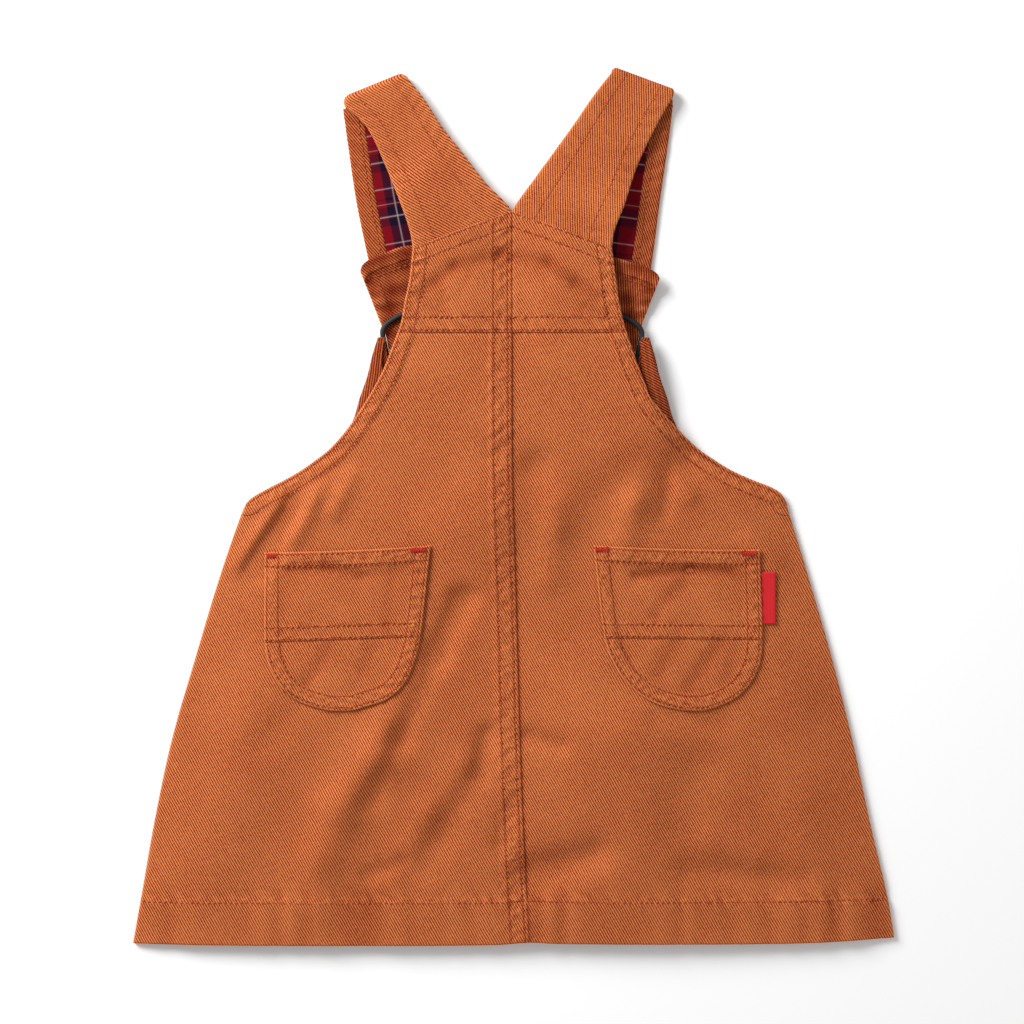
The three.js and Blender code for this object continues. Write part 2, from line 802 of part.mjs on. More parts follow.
// A button's profile from the middle of its cap, which lies on the table, up its neck to the bib
const buttonProfile = sections(["r", "z"], [
  [0, 0],
  [buttonRadius - 1.6, 0],
  [buttonRadius - 0.4, 0.4],
  [buttonRadius, 1.0],
  [buttonRadius - 0.5, capThickness],
  [neckRadius, capThickness],
  [neckRadius, frontOverBuckle - gap],
  [0, frontOverBuckle - gap],
]);

function button(name, which) {
  const points = buttonProfile.map((point) => new THREE.Vector2(point.r, point.z));
  const lathe = new THREE.LatheGeometry(points, buttonSides);
  lathe.rotateX(Math.PI / 2);
  const mesh = new THREE.Mesh(lathe, metal(wireBlack));
  mesh.name = name;
  const [x, y] = atBuckle(buckles[which], 0, buttonPlace);
  mesh.position.set(x, y, 0);
  return mesh;
}

const dress = new THREE.Group();
const lastPocketRow = pocketTables.left.length - 1;
dress.add(front, backHalf("back_left", -1), backHalf("back_right", 1));
dress.add(yokeHalf("yoke_left", -1), yokeHalf("yoke_right", 1));
dress.add(facing("bib_facing_left", -1), facing("bib_facing_right", 1));
for (const which of ["left", "right"]) {
  dress.add(strap(`strap_${which}`, which), lining(`strap_lining_${which}`, which));
  dress.add(pocketPiece(`pocket_${which}_lower`, which, 0, pocketSeamRow));
  dress.add(pocketPiece(`pocket_${which}_upper`, which, pocketSeamRow, lastPocketRow));
  dress.add(buckleOf(`buckle_${which}`, which), button(`button_${which}`, which));
}
dress.add(labelTab("label_tab"));

export default dress;
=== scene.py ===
import math

import bmesh
import bpy
import numpy as np
from mathutils import Matrix, Vector


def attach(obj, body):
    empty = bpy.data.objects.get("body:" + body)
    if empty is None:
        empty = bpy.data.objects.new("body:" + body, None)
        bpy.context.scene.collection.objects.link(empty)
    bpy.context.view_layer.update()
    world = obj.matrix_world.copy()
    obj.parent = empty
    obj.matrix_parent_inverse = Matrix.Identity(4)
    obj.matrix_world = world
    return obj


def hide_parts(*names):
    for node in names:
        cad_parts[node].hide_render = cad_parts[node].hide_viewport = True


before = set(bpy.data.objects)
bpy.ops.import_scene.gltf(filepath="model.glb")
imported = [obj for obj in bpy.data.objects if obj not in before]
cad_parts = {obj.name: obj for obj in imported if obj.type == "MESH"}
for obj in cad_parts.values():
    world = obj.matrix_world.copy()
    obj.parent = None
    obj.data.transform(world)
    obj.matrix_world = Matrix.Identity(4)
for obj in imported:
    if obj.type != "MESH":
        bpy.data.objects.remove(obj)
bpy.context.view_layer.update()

# Camera, straight above the dress as it was photographed, on a long lens.
# The picture is 512 mm across, so that one millimetre is two pixels.
# Shapes are worked out in millimetres, and each finished mesh is scaled to metres.
mm = 0.001
picture_width = 512
picture_centre = (-0.75, -2.25)
lens = 140
sensor = 36
camera_data = bpy.data.cameras.new("camera")
camera_data.lens = lens
camera_data.sensor_width = sensor
camera = bpy.data.objects.new("camera", camera_data)
camera.location = (picture_centre[0] * mm, picture_centre[1] * mm, picture_width * lens / sensor * mm)
bpy.context.collection.objects.link(camera)
scene = bpy.context.scene
scene.camera = camera
scene.view_settings.view_transform = "Standard"
scene.view_settings.look = "None"


# Floor and studio light: a plain pale sheet, and one large soft light high on the left.
# A weaker light on the right and a pale surround keep the shadows open.
class Value:
    """A number that changes over a surface: a node's output, which sums can be written with."""

    def __init__(self, finish, socket):
        self.finish = finish
        self.socket = socket

    def maths(self, operation, *values):
        return self.finish.add("ShaderNodeMath", {"operation": operation}, dict(enumerate(values)))

    def __add__(self, other):
        return self.maths("ADD", self, other)

    def __radd__(self, other):
        return self.maths("ADD", other, self)

    def __sub__(self, other):
        return self.maths("SUBTRACT", self, other)

    def __rsub__(self, other):
        return self.maths("SUBTRACT", other, self)

    def __mul__(self, other):
        return self.maths("MULTIPLY", self, other)

    def __rmul__(self, other):
        return self.maths("MULTIPLY", other, self)

    def __truediv__(self, other):
        return self.maths("DIVIDE", self, other)

    def sine(self):
        return self.maths("SINE", self)

    def whole(self, size):
        """The remainder after whole repeats of this size."""
        return self.maths("FLOORED_MODULO", self, size)

    def near(self, place, reach):
        """1 where this value is at a place, falling to 0 at a distance of about twice the reach."""
        away = (self - place) / reach
        return self.maths("EXPONENT", away * away * -1.0)

    def between(self, low, high, soft):
        """1 where this value is between two others, with soft edges."""
        rise = self.maths("SMOOTH_MIN", (self - low) / soft, 1.0, 0.1)
        fall = self.maths("SMOOTH_MIN", (high - self) / soft, 1.0, 0.1)
        return self.maths("MAXIMUM", self.maths("MINIMUM", rise, fall), 0.0)


class Finish:
    """A material while it is made: one method adds any node and sets or links its sockets."""

    def __init__(self, name, **sockets):
        self.material = bpy.data.materials.new(name)
        self.material.use_nodes = True
        self.tree = self.material.node_tree
        self.shader = self.tree.nodes["Principled BSDF"]
        for socket, value in sockets.items():
            self.feed(self.shader.inputs[socket.replace("_", " ")], value)

    def feed(self, socket, value):
        if isinstance(value, Value):
            self.tree.links.new(value.socket, socket)
        else:
            socket.default_value = value

    def add(self, kind, settings=None, inputs=None, output=0):
        node = self.tree.nodes.new(kind)
        for name, value in (settings or {}).items():
            setattr(node, name, value)
        for name, value in (inputs or {}).items():
            self.feed(node.inputs[name], value)
        return Value(self, node.outputs[output])

    def attribute(self, name):
        """The three values that a piece carries under this name."""
        vector = self.add("ShaderNodeAttribute", {"attribute_name": name}, output="Vector")
        return [self.add("ShaderNodeSeparateXYZ", {}, {"Vector": vector}, axis) for axis in "XYZ"]

    def point(self):
        return self.add("ShaderNodeTexCoord", output="Object")

    def noise(self, vector, scale, detail=2.0):
        inputs = {"Vector": vector, "Scale": scale, "Detail": detail}
        return self.add("ShaderNodeTexNoise", {}, inputs, "Fac")

    def blend(self, factor, low, high):
        """One colour or the other, or a mixture, by the factor."""
        inputs = {0: factor, 6: low, 7: high}
        return self.add("ShaderNodeMix", {"data_type": "RGBA"}, inputs, 2)

    def bump(self, height, distance=mm):
        inputs = {"Height": height, "Distance": distance, "Strength": 1.0}
        return self.add("ShaderNodeBump", {}, inputs, "Normal")

    def show(self, **sockets):
        for socket, value in sockets.items():
            self.feed(self.shader.inputs[socket.replace("_", " ")], value)
        return self.material


floor_size = 4.0
floor_mesh = bpy.data.meshes.new("floor")
floor_net = bmesh.new()
bmesh.ops.create_grid(floor_net, x_segments=1, y_segments=1, size=floor_size / 2)
floor_net.to_mesh(floor_mesh)
floor_net.free()
floor = bpy.data.objects.new("floor", floor_mesh)
bpy.context.collection.objects.link(floor)
floor_finish = Finish("floor_paper", Roughness=0.9, Specular_IOR_Level=0.1)
floor_mesh.materials.append(floor_finish.show(Base_Color=(0.96, 0.96, 0.96, 1)))

surround = bpy.data.worlds.new("surround")
surround.use_nodes = True
surround.node_tree.nodes["Background"].inputs["Color"].default_value = (1, 1, 1, 1)
surround.node_tree.nodes["Background"].inputs["Strength"].default_value = 0.38
scene.world = surround

studio_lights = [
    ("key_light", (-0.98, 0.84, 0.76), 0.8, 35.0),
    ("fill_light", (1.4, -0.6, 1.8), 1.4, 9.0),
]
for light_name, light_place, light_size, light_power in studio_lights:
    light_data = bpy.data.lights.new(light_name, "AREA")
    light_data.size = light_size
    light_data.energy = light_power
    light = bpy.data.objects.new(light_name, light_data)
    light.location = light_place
    light.rotation_euler = (-Vector(light_place)).to_track_quat("-Z", "Y").to_euler()
    bpy.context.collection.objects.link(light)


# Front of the dress with its bib, one piece of cotton drill, face down on the table.
# It rises over the buckles and buttons, and its top edge dips where the straps' loops lie in it.
# The cloth is a twill: slanting ribs, their hollows darker, with lighter yarn worn on every ridge.
front_cloth = 1.0
back_cloth = 1.2
gap = 0.3
hem_y = -217.6
hem_depth = 21
front_over_buckle = 5.9
first_row = 1.5
second_row = 7.2
rib_pitch = 1.18
yarn_pitch = 0.83
groove_reach = 0.36
felled_row_gap = 6.4
no_row = 99.0
body_rib_angle = math.radians(119.5)


def table(columns, *rows):
    return dict(zip(columns.split(), np.array(rows, dtype=float).T))


def mix(low, high, share):
    return low + (high - low) * share


def smooth(value, low, high):
    share = np.clip((value - low) / (high - low), 0, 1)
    return share * share * (3 - 2 * share)


def read(rows, column, place, key="y"):
    """A column's value between the rows of a table, on a smooth curve through them."""
    keys = rows[key]
    values = rows[column]
    last = len(keys) - 1
    i = np.clip(np.searchsorted(keys, place, side="left") - 1, 0, last - 1)
    before = np.maximum(i - 1, 0)
    after = np.minimum(i + 2, last)
    span = keys[i + 1] - keys[i]
    share = np.clip((place - keys[i]) / span, 0, 1)
    slope_from = span * (values[i + 1] - values[before]) / (keys[i + 1] - keys[before])
    slope_to = span * (values[after] - values[i]) / (keys[after] - keys[i])
    rise = values[i + 1] - values[i]
    bend = (slope_from - rise) * (1 - share) - (slope_to - rise) * share
    return values[i] + rise * share + share * (1 - share) * bend


front_outline = table(
    "y edge",
    (-217.6, 189.5), (-196, 185.8), (-156, 177.6), (-116, 169.0), (-76, 158.7), (-36, 146.9),
    (-2, 134.9), (4, 131.3), (9, 123.2), (14, 113.3), (24, 97.6), (34, 85.6), (44, 79.9),
    (54, 76.9), (65, 73.0), (76, 70.3), (84.75, 67.6),
)
hem_line = table(
    "x y",
    (-190, -217.6), (-150, -218.4), (-60, -218.6), (-8, -218.1), (8, -217.0),
    (24, -217.6), (90, -217.9), (150, -217.2), (190, -214.8),
)
bib_top = table(
    "share y",
    (0, 84.75), (0.38, 84.75), (0.42, 66), (0.84, 66), (0.875, 73), (0.945, 84.75), (1, 84.75),
)
bib_band_y = 60
bib_band_share = 0.85

buckle_tilt = math.radians(12)
buckles = {"left": (-1, -48.9, 93.1), "right": (1, 47.65, 92.4)}
strap_end_up = 31
button_place = 36


def at_buckle(which, out, down):
    """A place in a buckle's own frame: out from the middle of the dress, and down to the hem."""
    side, x, y = buckles[which]
    turned_x = x + side * (out * math.cos(buckle_tilt) - down * math.sin(buckle_tilt))
    return turned_x, y - out * math.sin(buckle_tilt) - down * math.cos(buckle_tilt)


def distance_to_line(x, y, start, end):
    along_x = end[0] - start[0]
    along_y = end[1] - start[1]
    place = ((x - start[0]) * along_x + (y - start[1]) * along_y) / (along_x ** 2 + along_y ** 2)
    place = np.clip(place, 0, 1)
    return np.hypot(x - start[0] - place * along_x, y - start[1] - place * along_y)


def over_buckles(x, y, flat, reach):
    """1 over either buckle, strap end and button, falling to 0 away from them."""
    clear = 1
    for which in buckles:
        top = at_buckle(which, 0, -strap_end_up)
        foot = at_buckle(which, 0, button_place)
        clear = clear * smooth(distance_to_line(x, y, top, foot), flat, reach)
    return 1 - clear


def hemmed(x, y):
    """A height near the hem, following the hem's own line."""
    share = 1 - smooth(y, hem_y, hem_y + 3 * hem_depth)
    return y + share * (read(hem_line, "y", x, "x") - hem_y)


def uneven(x, y, seed=0.0):
    """A gentle unevenness between -1 and 1 that never quite repeats."""
    waves = np.sin(1.7 * x + 0.9 * y + seed) + np.sin(1.9 * y - 1.1 * x + 2.3 * seed + 1.3)
    waves = waves + np.sin(0.6 * x - 2.6 * y + 0.7 * seed) + np.sin(2.9 * x + 0.4 * y + 4.1 + seed)
    return waves / 4


def twill(x, y, angle):
    """Places across and along the ribs, which slant at this angle."""
    return y * np.cos(angle) - x * np.sin(angle), x * np.cos(angle) + y * np.sin(angle)


def net(name, columns, rows, place, thickness, finish):
    """A wall of cloth: a net of columns and rows, moved to its place and thickened downwards.

    place(u, v) gives x, y, z, then two places across and along the ribs and a relief value that
    the colour follows, for wear and for painted light and shade, then three distances in from
    sewn edges and seams, or no_row where there is no sewing. All are in millimetres.
    """
    mesh = bpy.data.meshes.new(name)
    grid = bmesh.new()
    bmesh.ops.create_grid(grid, x_segments=columns, y_segments=rows, size=1)
    grid.to_mesh(mesh)
    grid.free()
    points = np.zeros(len(mesh.vertices) * 3)
    mesh.vertices.foreach_get("co", points)
    u, v, _ = (points.reshape(-1, 3).T + 1) / 2
    values = [np.broadcast_to(value, u.shape) for value in place(u, v)]
    mesh.vertices.foreach_set("co", (np.stack(values[0:3], 1) * mm).ravel())
    for layer, first in (("cloth", 3), ("sewing", 6)):
        data = mesh.attributes.new(layer, "FLOAT_VECTOR", "POINT").data
        data.foreach_set("vector", np.stack(values[first:first + 3], 1).ravel())
    mesh.materials.append(finish)
    mesh.shade_smooth()
    mesh.update()
    piece = bpy.data.objects.new(name, mesh)
    bpy.context.collection.objects.link(piece)
    wall = piece.modifiers.new("wall", "SOLIDIFY")
    wall.thickness = thickness * mm
    wall.offset = -1
    return piece


def narrow_at_edges(u, count, width):
    """Distances from the low edge, with three narrow columns at each edge for its rounding."""
    near = [0, 1, 2, 3]
    narrow = [0, 0.35, 0.9, 1.7]
    place = u * count
    inner = mix(narrow[3], width - narrow[3], (place - 3) / (count - 6))
    low = np.interp(place, near, narrow)
    high = width - np.interp(count - place, near, narrow)
    return np.where(place < 3, low, np.where(place > count - 3, high, inner))


edge_roll = 1.1
edge_drop = 0.55
worn_edge = 0.9


def rolled(distance):
    """How far a folded edge rolls down."""
    share = np.clip(1 - distance / edge_roll, 0, 1)
    return edge_drop * (1 - np.sqrt(1 - share ** 2))


def worn(distance):
    """How much a folded edge is rubbed paler, which fades with the distance in from it."""
    return np.exp(-distance / worn_edge)


def drill(name, deep, pale, shine=0.02):
    """Cotton drill: ribs and puckers along the rows of sewing, with painted shade in their grooves; its
    colour follows the relief value, paler where raised or worn, with painted shade where low.
    """
    finish = Finish(
        name, Roughness=0.88, Sheen_Weight=shine, Sheen_Roughness=0.5, Specular_IOR_Level=0.04,
    )
    across, along, relief = finish.attribute("cloth")
    edge, seam, row = finish.attribute("sewing")
    point = finish.point()
    drift = finish.noise(point, 160.0, 3.0) - 0.5
    slub = finish.noise(point, 1100.0, 1.0) - 0.5
    turns = across / rib_pitch + drift * 0.5
    rib = (turns * (2 * math.pi)).sine() * 0.5 + 0.5
    yarn = (along * (2 * math.pi / yarn_pitch) + turns * 3.0).sine()
    cloud = finish.noise(point, 28.0, 3.0) - 0.5
    groove = edge.near(first_row, groove_reach) + edge.near(second_row, groove_reach)
    groove = groove + seam.near(first_row, groove_reach) + seam.near(second_row, groove_reach)
    groove = groove + row.near(0.0, groove_reach) + row.near(felled_row_gap, groove_reach)
    beside = edge.near(4.0, 2.6) + seam.near(4.0, 2.6)
    beside = beside + row.near(0.0, 1.6) + row.near(felled_row_gap, 1.6)
    # Lumps beside the rows of sewing also tint the tone: paler when raised, darker when sunk, partly wear
    # and partly painted shade.
    lump = (finish.noise(point, 330.0, 1.0) - 0.5) * beside
    # The relief value tints the tone too: paler where raised or worn, darker where low, wear on puckers
    # and edges and painted light and shade on folds and creases.
    tone = rib * 0.98 + yarn * 0.1 + slub * 0.7 + cloud * 0.3 + relief * 0.2 + lump * 0.55 + 0.01
    # Painted shade: the tone is darkened in the stitch grooves.
    tone = finish.add("ShaderNodeClamp", {}, {"Value": tone - groove * 0.27})
    colour = finish.blend(tone, deep, pale)
    # Painted shade: a relief value below zero darkens the colour towards deep red-brown, for shade by the
    # centre seam, under the back and on the strap ends.
    shade = finish.add("ShaderNodeClamp", {}, {"Value": relief * -0.3})
    colour = finish.blend(shade, colour, (0.100, 0.004, 0.0005, 1))
    height = rib * 0.15 + yarn * 0.04 + slub * 0.08 - groove * 0.3 + lump * 1.2
    return finish.show(Base_Color=colour, Normal=finish.bump(height))


cotton = drill("cotton_drill", (0.170, 0.004, 0.0005, 1), (0.715, 0.232, 0.076, 1))


def front_under(x, y):
    return front_over_buckle * over_buckles(x, y, 27, 49)


def front_place(u, v):
    share = np.abs(u * 2 - 1)
    side = np.sign(u - 0.5)
    top = np.interp(share, bib_top["share"], bib_top["y"])
    low_row = mix(hem_y, bib_band_y, v / bib_band_share)
    high_row = mix(bib_band_y, top, (v - bib_band_share) / (1 - bib_band_share))
    row = np.where(v < bib_band_share, low_row, high_row)
    x = side * share * read(front_outline, "edge", row)
    y = hemmed(x, row)
    across, along = twill(x, y, -body_rib_angle)
    hem_row = -np.abs(y - hem_y - hem_depth)
    shade = -1.2 * smooth(y, 10, 40)
    return x, y, front_under(x, y) + front_cloth, across, along, shade, no_row, no_row, hem_row


def laid(piece, nodes):
    """A piece of cloth that stands for its solid, which is hidden."""
    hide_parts(*nodes)
    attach(piece, "root")


front = net("front_with_bib_cloth", 110, 130, front_place, 0.95, cotton)
laid(front, ["front_with_bib"])


# Facings inside the bib's edges, strips of the same drill turned in and stitched down.
# Only what the armholes leave in sight is made, darker because it lies in the back's shade.
facing_table = table(
    "y width",
    (44, 6.5), (47, 6.9), (50, 7.3), (53, 7.6), (56, 7.8), (59, 8.0), (62, 8.0),
    (65, 7.6), (68, 6.8), (71, 5.8), (77, 4.4), (83, 3.4),
)
facing_extra = {"left": 0, "right": 1.7}
facing_area = {"left": 0.00028, "right": 0.00032}
facing_rib_angles = {"left": math.radians(83), "right": math.radians(152)}
for which, (side, _, _) in buckles.items():
    def facing_place(u, v):
        y = mix(facing_table["y"][0], facing_table["y"][-1], v)
        edge = read(front_outline, "edge", y) - gap
        inward = u if side < 0 else 1 - u
        width = read(facing_table, "width", y) + facing_extra[which] * smooth(y, 62, 72)
        x = side * (edge - inward * width)
        pleat = 0.12 * np.sin(inward * width * 2.2 + 0.3 * y)
        z = front_under(x, y) + front_cloth + 1.15 + pleat - rolled(inward * width)
        across, along = twill(x, y, facing_rib_angles[which])
        return x, y, z, across, along, pleat * 2 - 1.0, no_row, no_row, no_row

    facing = net(f"bib_facing_{which}_cloth", 12, 40, facing_place, 0.9, cotton)
    area = facing_area[which]
    laid(facing, [f"bib_facing_{which}"])


# Back of the skirt, two halves of drill. The left half's folded edge laps the right in a felled
# centre seam, the armholes are bound with two rows, and the hem is turned up and stitched once.
under_loft = 3.6
loft_reach = 30
bib_room = 2.0
back_over_buckle = 9.1
back_over_shoulder = 5.0
band_rise = 0.5
edge_band = 7.5
seam_band = 10.4
yoke_seam_y = 87
back_outline = table(
    "y left right",
    (-217.6, -190.0, 190.2), (-196, -186.2, 186.7), (-156, -179.2, 177.8), (-116, -170.7, 169.2),
    (-76, -159.2, 159.2), (-36, -147.2, 147.7), (-2, -135.4, 137.4), (4, -131.8, 135.6),
    (9, -123.6, 131.0), (14, -113.9, 118.8), (19, -105.4, 107.9), (24, -98.4, 99.9),
    (29, -92.0, 92.6), (39, -83.0, 82.1), (54, -72.8, 68.9), (64, -67.1, 64.7), (71, -63.8, 61.8),
    (80, -60.4, 58.8), (91, -56.3, 55.2), (103, -54.1, 52.5), (114, -51.8, 51.0), (129, -50.2, 49.0),
)
centre_seam = table(
    "y x",
    (-217.6, 8.0), (-171, 5.5), (-121, 3.5), (-46, 1.4), (14, -0.4), (87, -0.7), (147.75, -0.75),
)
seam_row = 2.1
far_seam_row = 9.2
tucked_under = 1.5
folds = table(
    "from_x from_y to_x to_y width height",
    (-111, 0, -129, -31, 6, -4.6), (-98, 8, -110, -14, 5.5, 2.2), (-81, 16, -90, -2, 5, 1.2),
    (-24, 50, -15, 0, 30, 3.0), (28, 60, 18, 40, 14, 1.4), (38, 48, 11, 21, 8, -2.0),
    (72, 34, 60, 2, 8, 1.3), (60, 2, 55, -20, 8, 1.0), (80, 26, 75, -4, 4, -0.7), (77, 29, 88, 6, 5, 1.1),
    (94, 14, 131, -26, 6, 1.8), (88, 22, 112, -10, 6, -1.0), (30, 20, 24, -8, 9, 1.0),
    (20, 0, 18, -34, 8, 0.9),
    (-18, 38, -9, 27, 5, -1.1), (-26, -46, -38, -74, 6, -2.0), (-20, -44, -26, -54, 4.5, -0.5),
    (-40, -76, -57, -116, 7, -1.6), (-57, -116, -72, -146, 7, -1.3), (-50, -86, -66, -124, 12, 1.9),
    (-66, -124, -86, -149, 12, 1.9), (-86, -149, -96, -174, 12, 1.4), (-96, -174, -101, -198, 12, 1.0),
    (-25, -126, -42, -151, 7, 0.5), (-42, -151, -59, -181, 7, 0.5), (-19, -136, -37, -166, 7, -0.6),
    (-37, -166, -47, -181, 7, -0.5), (-13, -113, -17, -134, 5, -1.3), (-2, -150, -6, -168, 5, -0.9),
    (-72, -184, -56, -177, 4.5, -0.8), (-120, -92, -160, -180, 22, 1.6), (8, -114, 23, -119, 5, -1.1),
    (46, -118, 60, -165, 38, 2.5), (8, -184, 40, -173, 9, -2.0), (88, -181, 143, -186, 8, -1.2),
    (92, -130, 83, -161, 14, -1.0), (100, -166, 120, -176, 8, 0.9), (142, -150, 150, -190, 14, 1.2),
    (-48, 84, -36, 82, 4, -0.9), (-104, -92, -126, -118, 8, -0.7), (30, 84, 22, 72, 5, -0.5),
    (120, -60, 146, -92, 10, 0.8), (56, -114, 118, -112, 36, 1.0), (-26, 37, -2, 32, 8, -0.9),
    (-117, 1, -138, -27, 4.5, 3.4), (-60, 60, -44, 78, 6, -0.5), (72, -104, 104, -108, 6, -0.7),
)
fold_strength = 2.0
deepest_fold = 3.3
armhole_top = 129.0


def back_edge(which, y):
    return read(back_outline, which, y)


def creases(rows, x, y):
    """Soft ridges and troughs, each along a line between two places."""
    height = 0.0
    for from_x, from_y, to_x, to_y, width, rise in zip(*rows.values()):
        away = distance_to_line(x, y, (from_x, from_y), (to_x, to_y)) / width
        height = height + rise * np.exp(-away ** 2)
    return height


def fold_height(x, y):
    """The back's folds and unevenness, calmer over the middle of each half."""
    height = 0.22 * uneven(x / 13, y / 17) + 0.08 * uneven(x / 4.6, y / 6.1, 2.0)
    height = height + fold_strength * creases(folds, x, y)
    height = np.where(height < 0, deepest_fold * np.tanh(height / deepest_fold), height)
    calm = smooth(np.abs(x), 30, 55) * (1 - smooth(np.abs(x), 112, 137))
    calm = calm * smooth(y, -112, -86) * (1 - smooth(y, -34, -8))
    return height * mix(1, 0.55, calm)


def back_under(x, y):
    """The underside of the back, its yoke and the straps: low at the edges, high over the buckles."""
    inset = np.maximum(np.minimum(x - back_edge("left", y), back_edge("right", y) - x), 0)
    loft = 1 - np.exp(-inset / loft_reach)
    rest = front_cloth + gap + bib_room * smooth(y, 22, 42)
    lying = rest + loft * (under_loft + fold_height(x, y))
    raised = mix(lying, back_over_buckle, over_buckles(x, y, 27, 58))
    return mix(raised, back_over_shoulder, smooth(y, 150, 195))


def armhole_path(which, low=3.0, high=armhole_top):
    y = np.linspace(low, high, 70)
    return np.stack([back_edge(which, y), y], 1)


def distance_to_path(x, y, path):
    nearest = np.full(np.shape(x), no_row)
    for start, end in zip(path[:-1], path[1:]):
        nearest = np.minimum(nearest, distance_to_line(x, y, start, end))
    return nearest


def roping(along, across, length, seed):
    """Slanting puckers, as a sewn band pulls into when it is washed."""
    turns = 2 * math.pi * (along + 0.7 * across) / length
    wave = np.sin(turns + 3.2 * uneven(along / 9, across / 14, seed))
    return wave * (0.75 + 0.7 * uneven(along / 15, across / 11, seed + 2.0))


def back_relief(x, y):
    """The puckers along every seam of the back, in millimetres."""
    hem_row = hem_y + hem_depth
    at_hem = np.exp(-((y - hem_row) / 4.5) ** 2) * 0.42
    relief = at_hem * roping(x, y - hem_row, 8.3, 1.0)
    drawn = np.sin(x / 3.1 + 7 * uneven(x / 31, 0.3)) * (0.6 + 1.1 * uneven(x / 23, 1.1))
    relief = relief + 0.36 * (1 - smooth(y, hem_row, hem_row + 12)) * drawn
    beside = read(centre_seam, "x", y) - x
    at_seam = smooth(beside, -3, 1) * (1 - smooth(beside, 9, 15))
    relief = relief + 0.22 * at_seam * roping(y, beside, 7.4, 2.0)
    for which in ("left", "right"):
        inside = distance_to_path(x, y, armhole_path(which)[::3])
        at_edge = 1 - smooth(inside, 6, 13)
        relief = relief + 0.24 * at_edge * roping(y + 0.6 * np.abs(x), inside, 6.6, 3.0)
    at_yoke = np.exp(-((y - yoke_seam_y - 3) / 7.5) ** 2)
    relief = relief + 0.26 * at_yoke * roping(x, y, 7.9, 4.0)
    puff = np.exp(-((x + 42) / 14) ** 2) + np.exp(-((x - 20) / 13) ** 2)
    return relief + 0.5 * np.exp(-((y - 71) / 9) ** 2) * puff


def seam_rows_at(beside):
    """The distance beside the centre seam, scaled so that its two rows lie in the grooves."""
    return mix(first_row, second_row, (beside - seam_row) / (far_seam_row - seam_row))


def back_half(which):
    side = buckles[which][0]
    top = yoke_seam_y + 4
    columns = 128
    rows = 214

    def place(u, v):
        row = hem_y + narrow_at_edges(v, rows, top - hem_y)
        seam = read(centre_seam, "x", row)
        low = back_edge("left", row) if side < 0 else seam - tucked_under
        high = seam if side < 0 else back_edge("right", row)
        x = low + narrow_at_edges(u, columns, high - low)
        y = hemmed(x, row)
        inside = distance_to_path(x, y, armhole_path(which))
        beside = (seam - x) * -side
        outer = np.abs((low if side < 0 else high) - x)
        relief = back_relief(x, y)
        hem_row = hem_y + hem_depth
        rise = band_rise * (1 - smooth(inside, edge_band, edge_band + 1.6))
        rise = np.maximum(rise, band_rise * (1 - smooth(y, hem_row, hem_row + 1.8)))
        drop = rolled(outer) + rolled(row - hem_y)
        # The colour follows the relief: paler on raised puckers, partly wash wear and partly painted
        # light, also on the raised patch below the yoke; the folded edges are rubbed paler.
        wear_and_shade = relief * 0.8 + 1.4 * worn(outer) + 0.8 * worn(row - hem_y)
        if side < 0:
            rise = np.maximum(rise, band_rise * (1 - smooth(seam - x, seam_band, seam_band + 1.8)))
            drop = drop + rolled(seam - x)
        else:
            from_seam = np.maximum(x - seam, 0)
            drop = drop + 0.5 * (1 - smooth(x - seam, -0.9, 0.5)) + 0.2 * np.exp(-from_seam / 2.5)
            # Painted shadow: the right half is darkened beside the centre seam, where the left half's
            # folded edge shades it.
            wear_and_shade = wear_and_shade - 1.4 * np.exp(-from_seam / 0.8)
        drop = drop + smooth(y, yoke_seam_y - 0.9, yoke_seam_y + 0.4)
        z = back_under(x, y) + back_cloth + rise + relief - drop
        across, along = twill(x, y, body_rib_angle)
        seam_rows = seam_rows_at(beside) if side < 0 else no_row
        return x, y, z, across, along, wear_and_shade, inside, seam_rows, -np.abs(hem_row - y)

    return net(f"back_{which}_cloth", columns, rows, place, 1.0, cotton)


back_area = {"left": 0.0458, "right": 0.0428}
for which in buckles:
    half = back_half(which)
    area = back_area[which]
    laid(half, [f"back_{which}"])


# Back yoke, two doubled halves. Its lower edge laps the skirt, and its pointed top edge laps the
# straps, each with two rows of stitches; the left half laps the right down the middle.
apex = (-0.75, 147.75)
chevron_ends = {"left": (-50.2, 129.1), "right": (49.0, 129.1)}
chevron_bow = 1.6
chevron_square = 0.935
yoke_tucked_under = 2.0


def chevron_y(x):
    """The yoke's top edge: two slightly bowed lines that meet at the point."""
    end = np.where(x < apex[0], chevron_ends["left"][0], chevron_ends["right"][0])
    share = np.clip((x - apex[0]) / (end - apex[0]), 0, 1.05)
    return mix(apex[1], chevron_ends["left"][1], share) + chevron_bow * share * (1 - share)


def yoke_top(x, y):
    return back_under(x, y) + back_cloth + band_rise + back_relief(x, y)


yoke_folds = table(
    "from_x from_y to_x to_y width height",
    (-47, 106, -29, 120, 3.4, -0.5), (-29, 120, -7, 126, 3.4, -0.5), (-7, 126, 17, 122, 3.4, -0.5),
    (17, 122, 31, 112, 3.6, -0.55), (31, 112, 43, 105, 3.4, -0.5), (-25, 107, 18, 107, 9, 0.3),
    (-42, 101, -34, 96, 3, -0.35), (36, 100, 46, 96, 3, -0.35), (-38, 112, -34, 103, 3, -0.3),
    (-22, 116, -27, 104, 3, -0.2), (12, 116, 22, 102, 4, -0.25), (-14, 104, -6, 98, 4, 0.2),
)


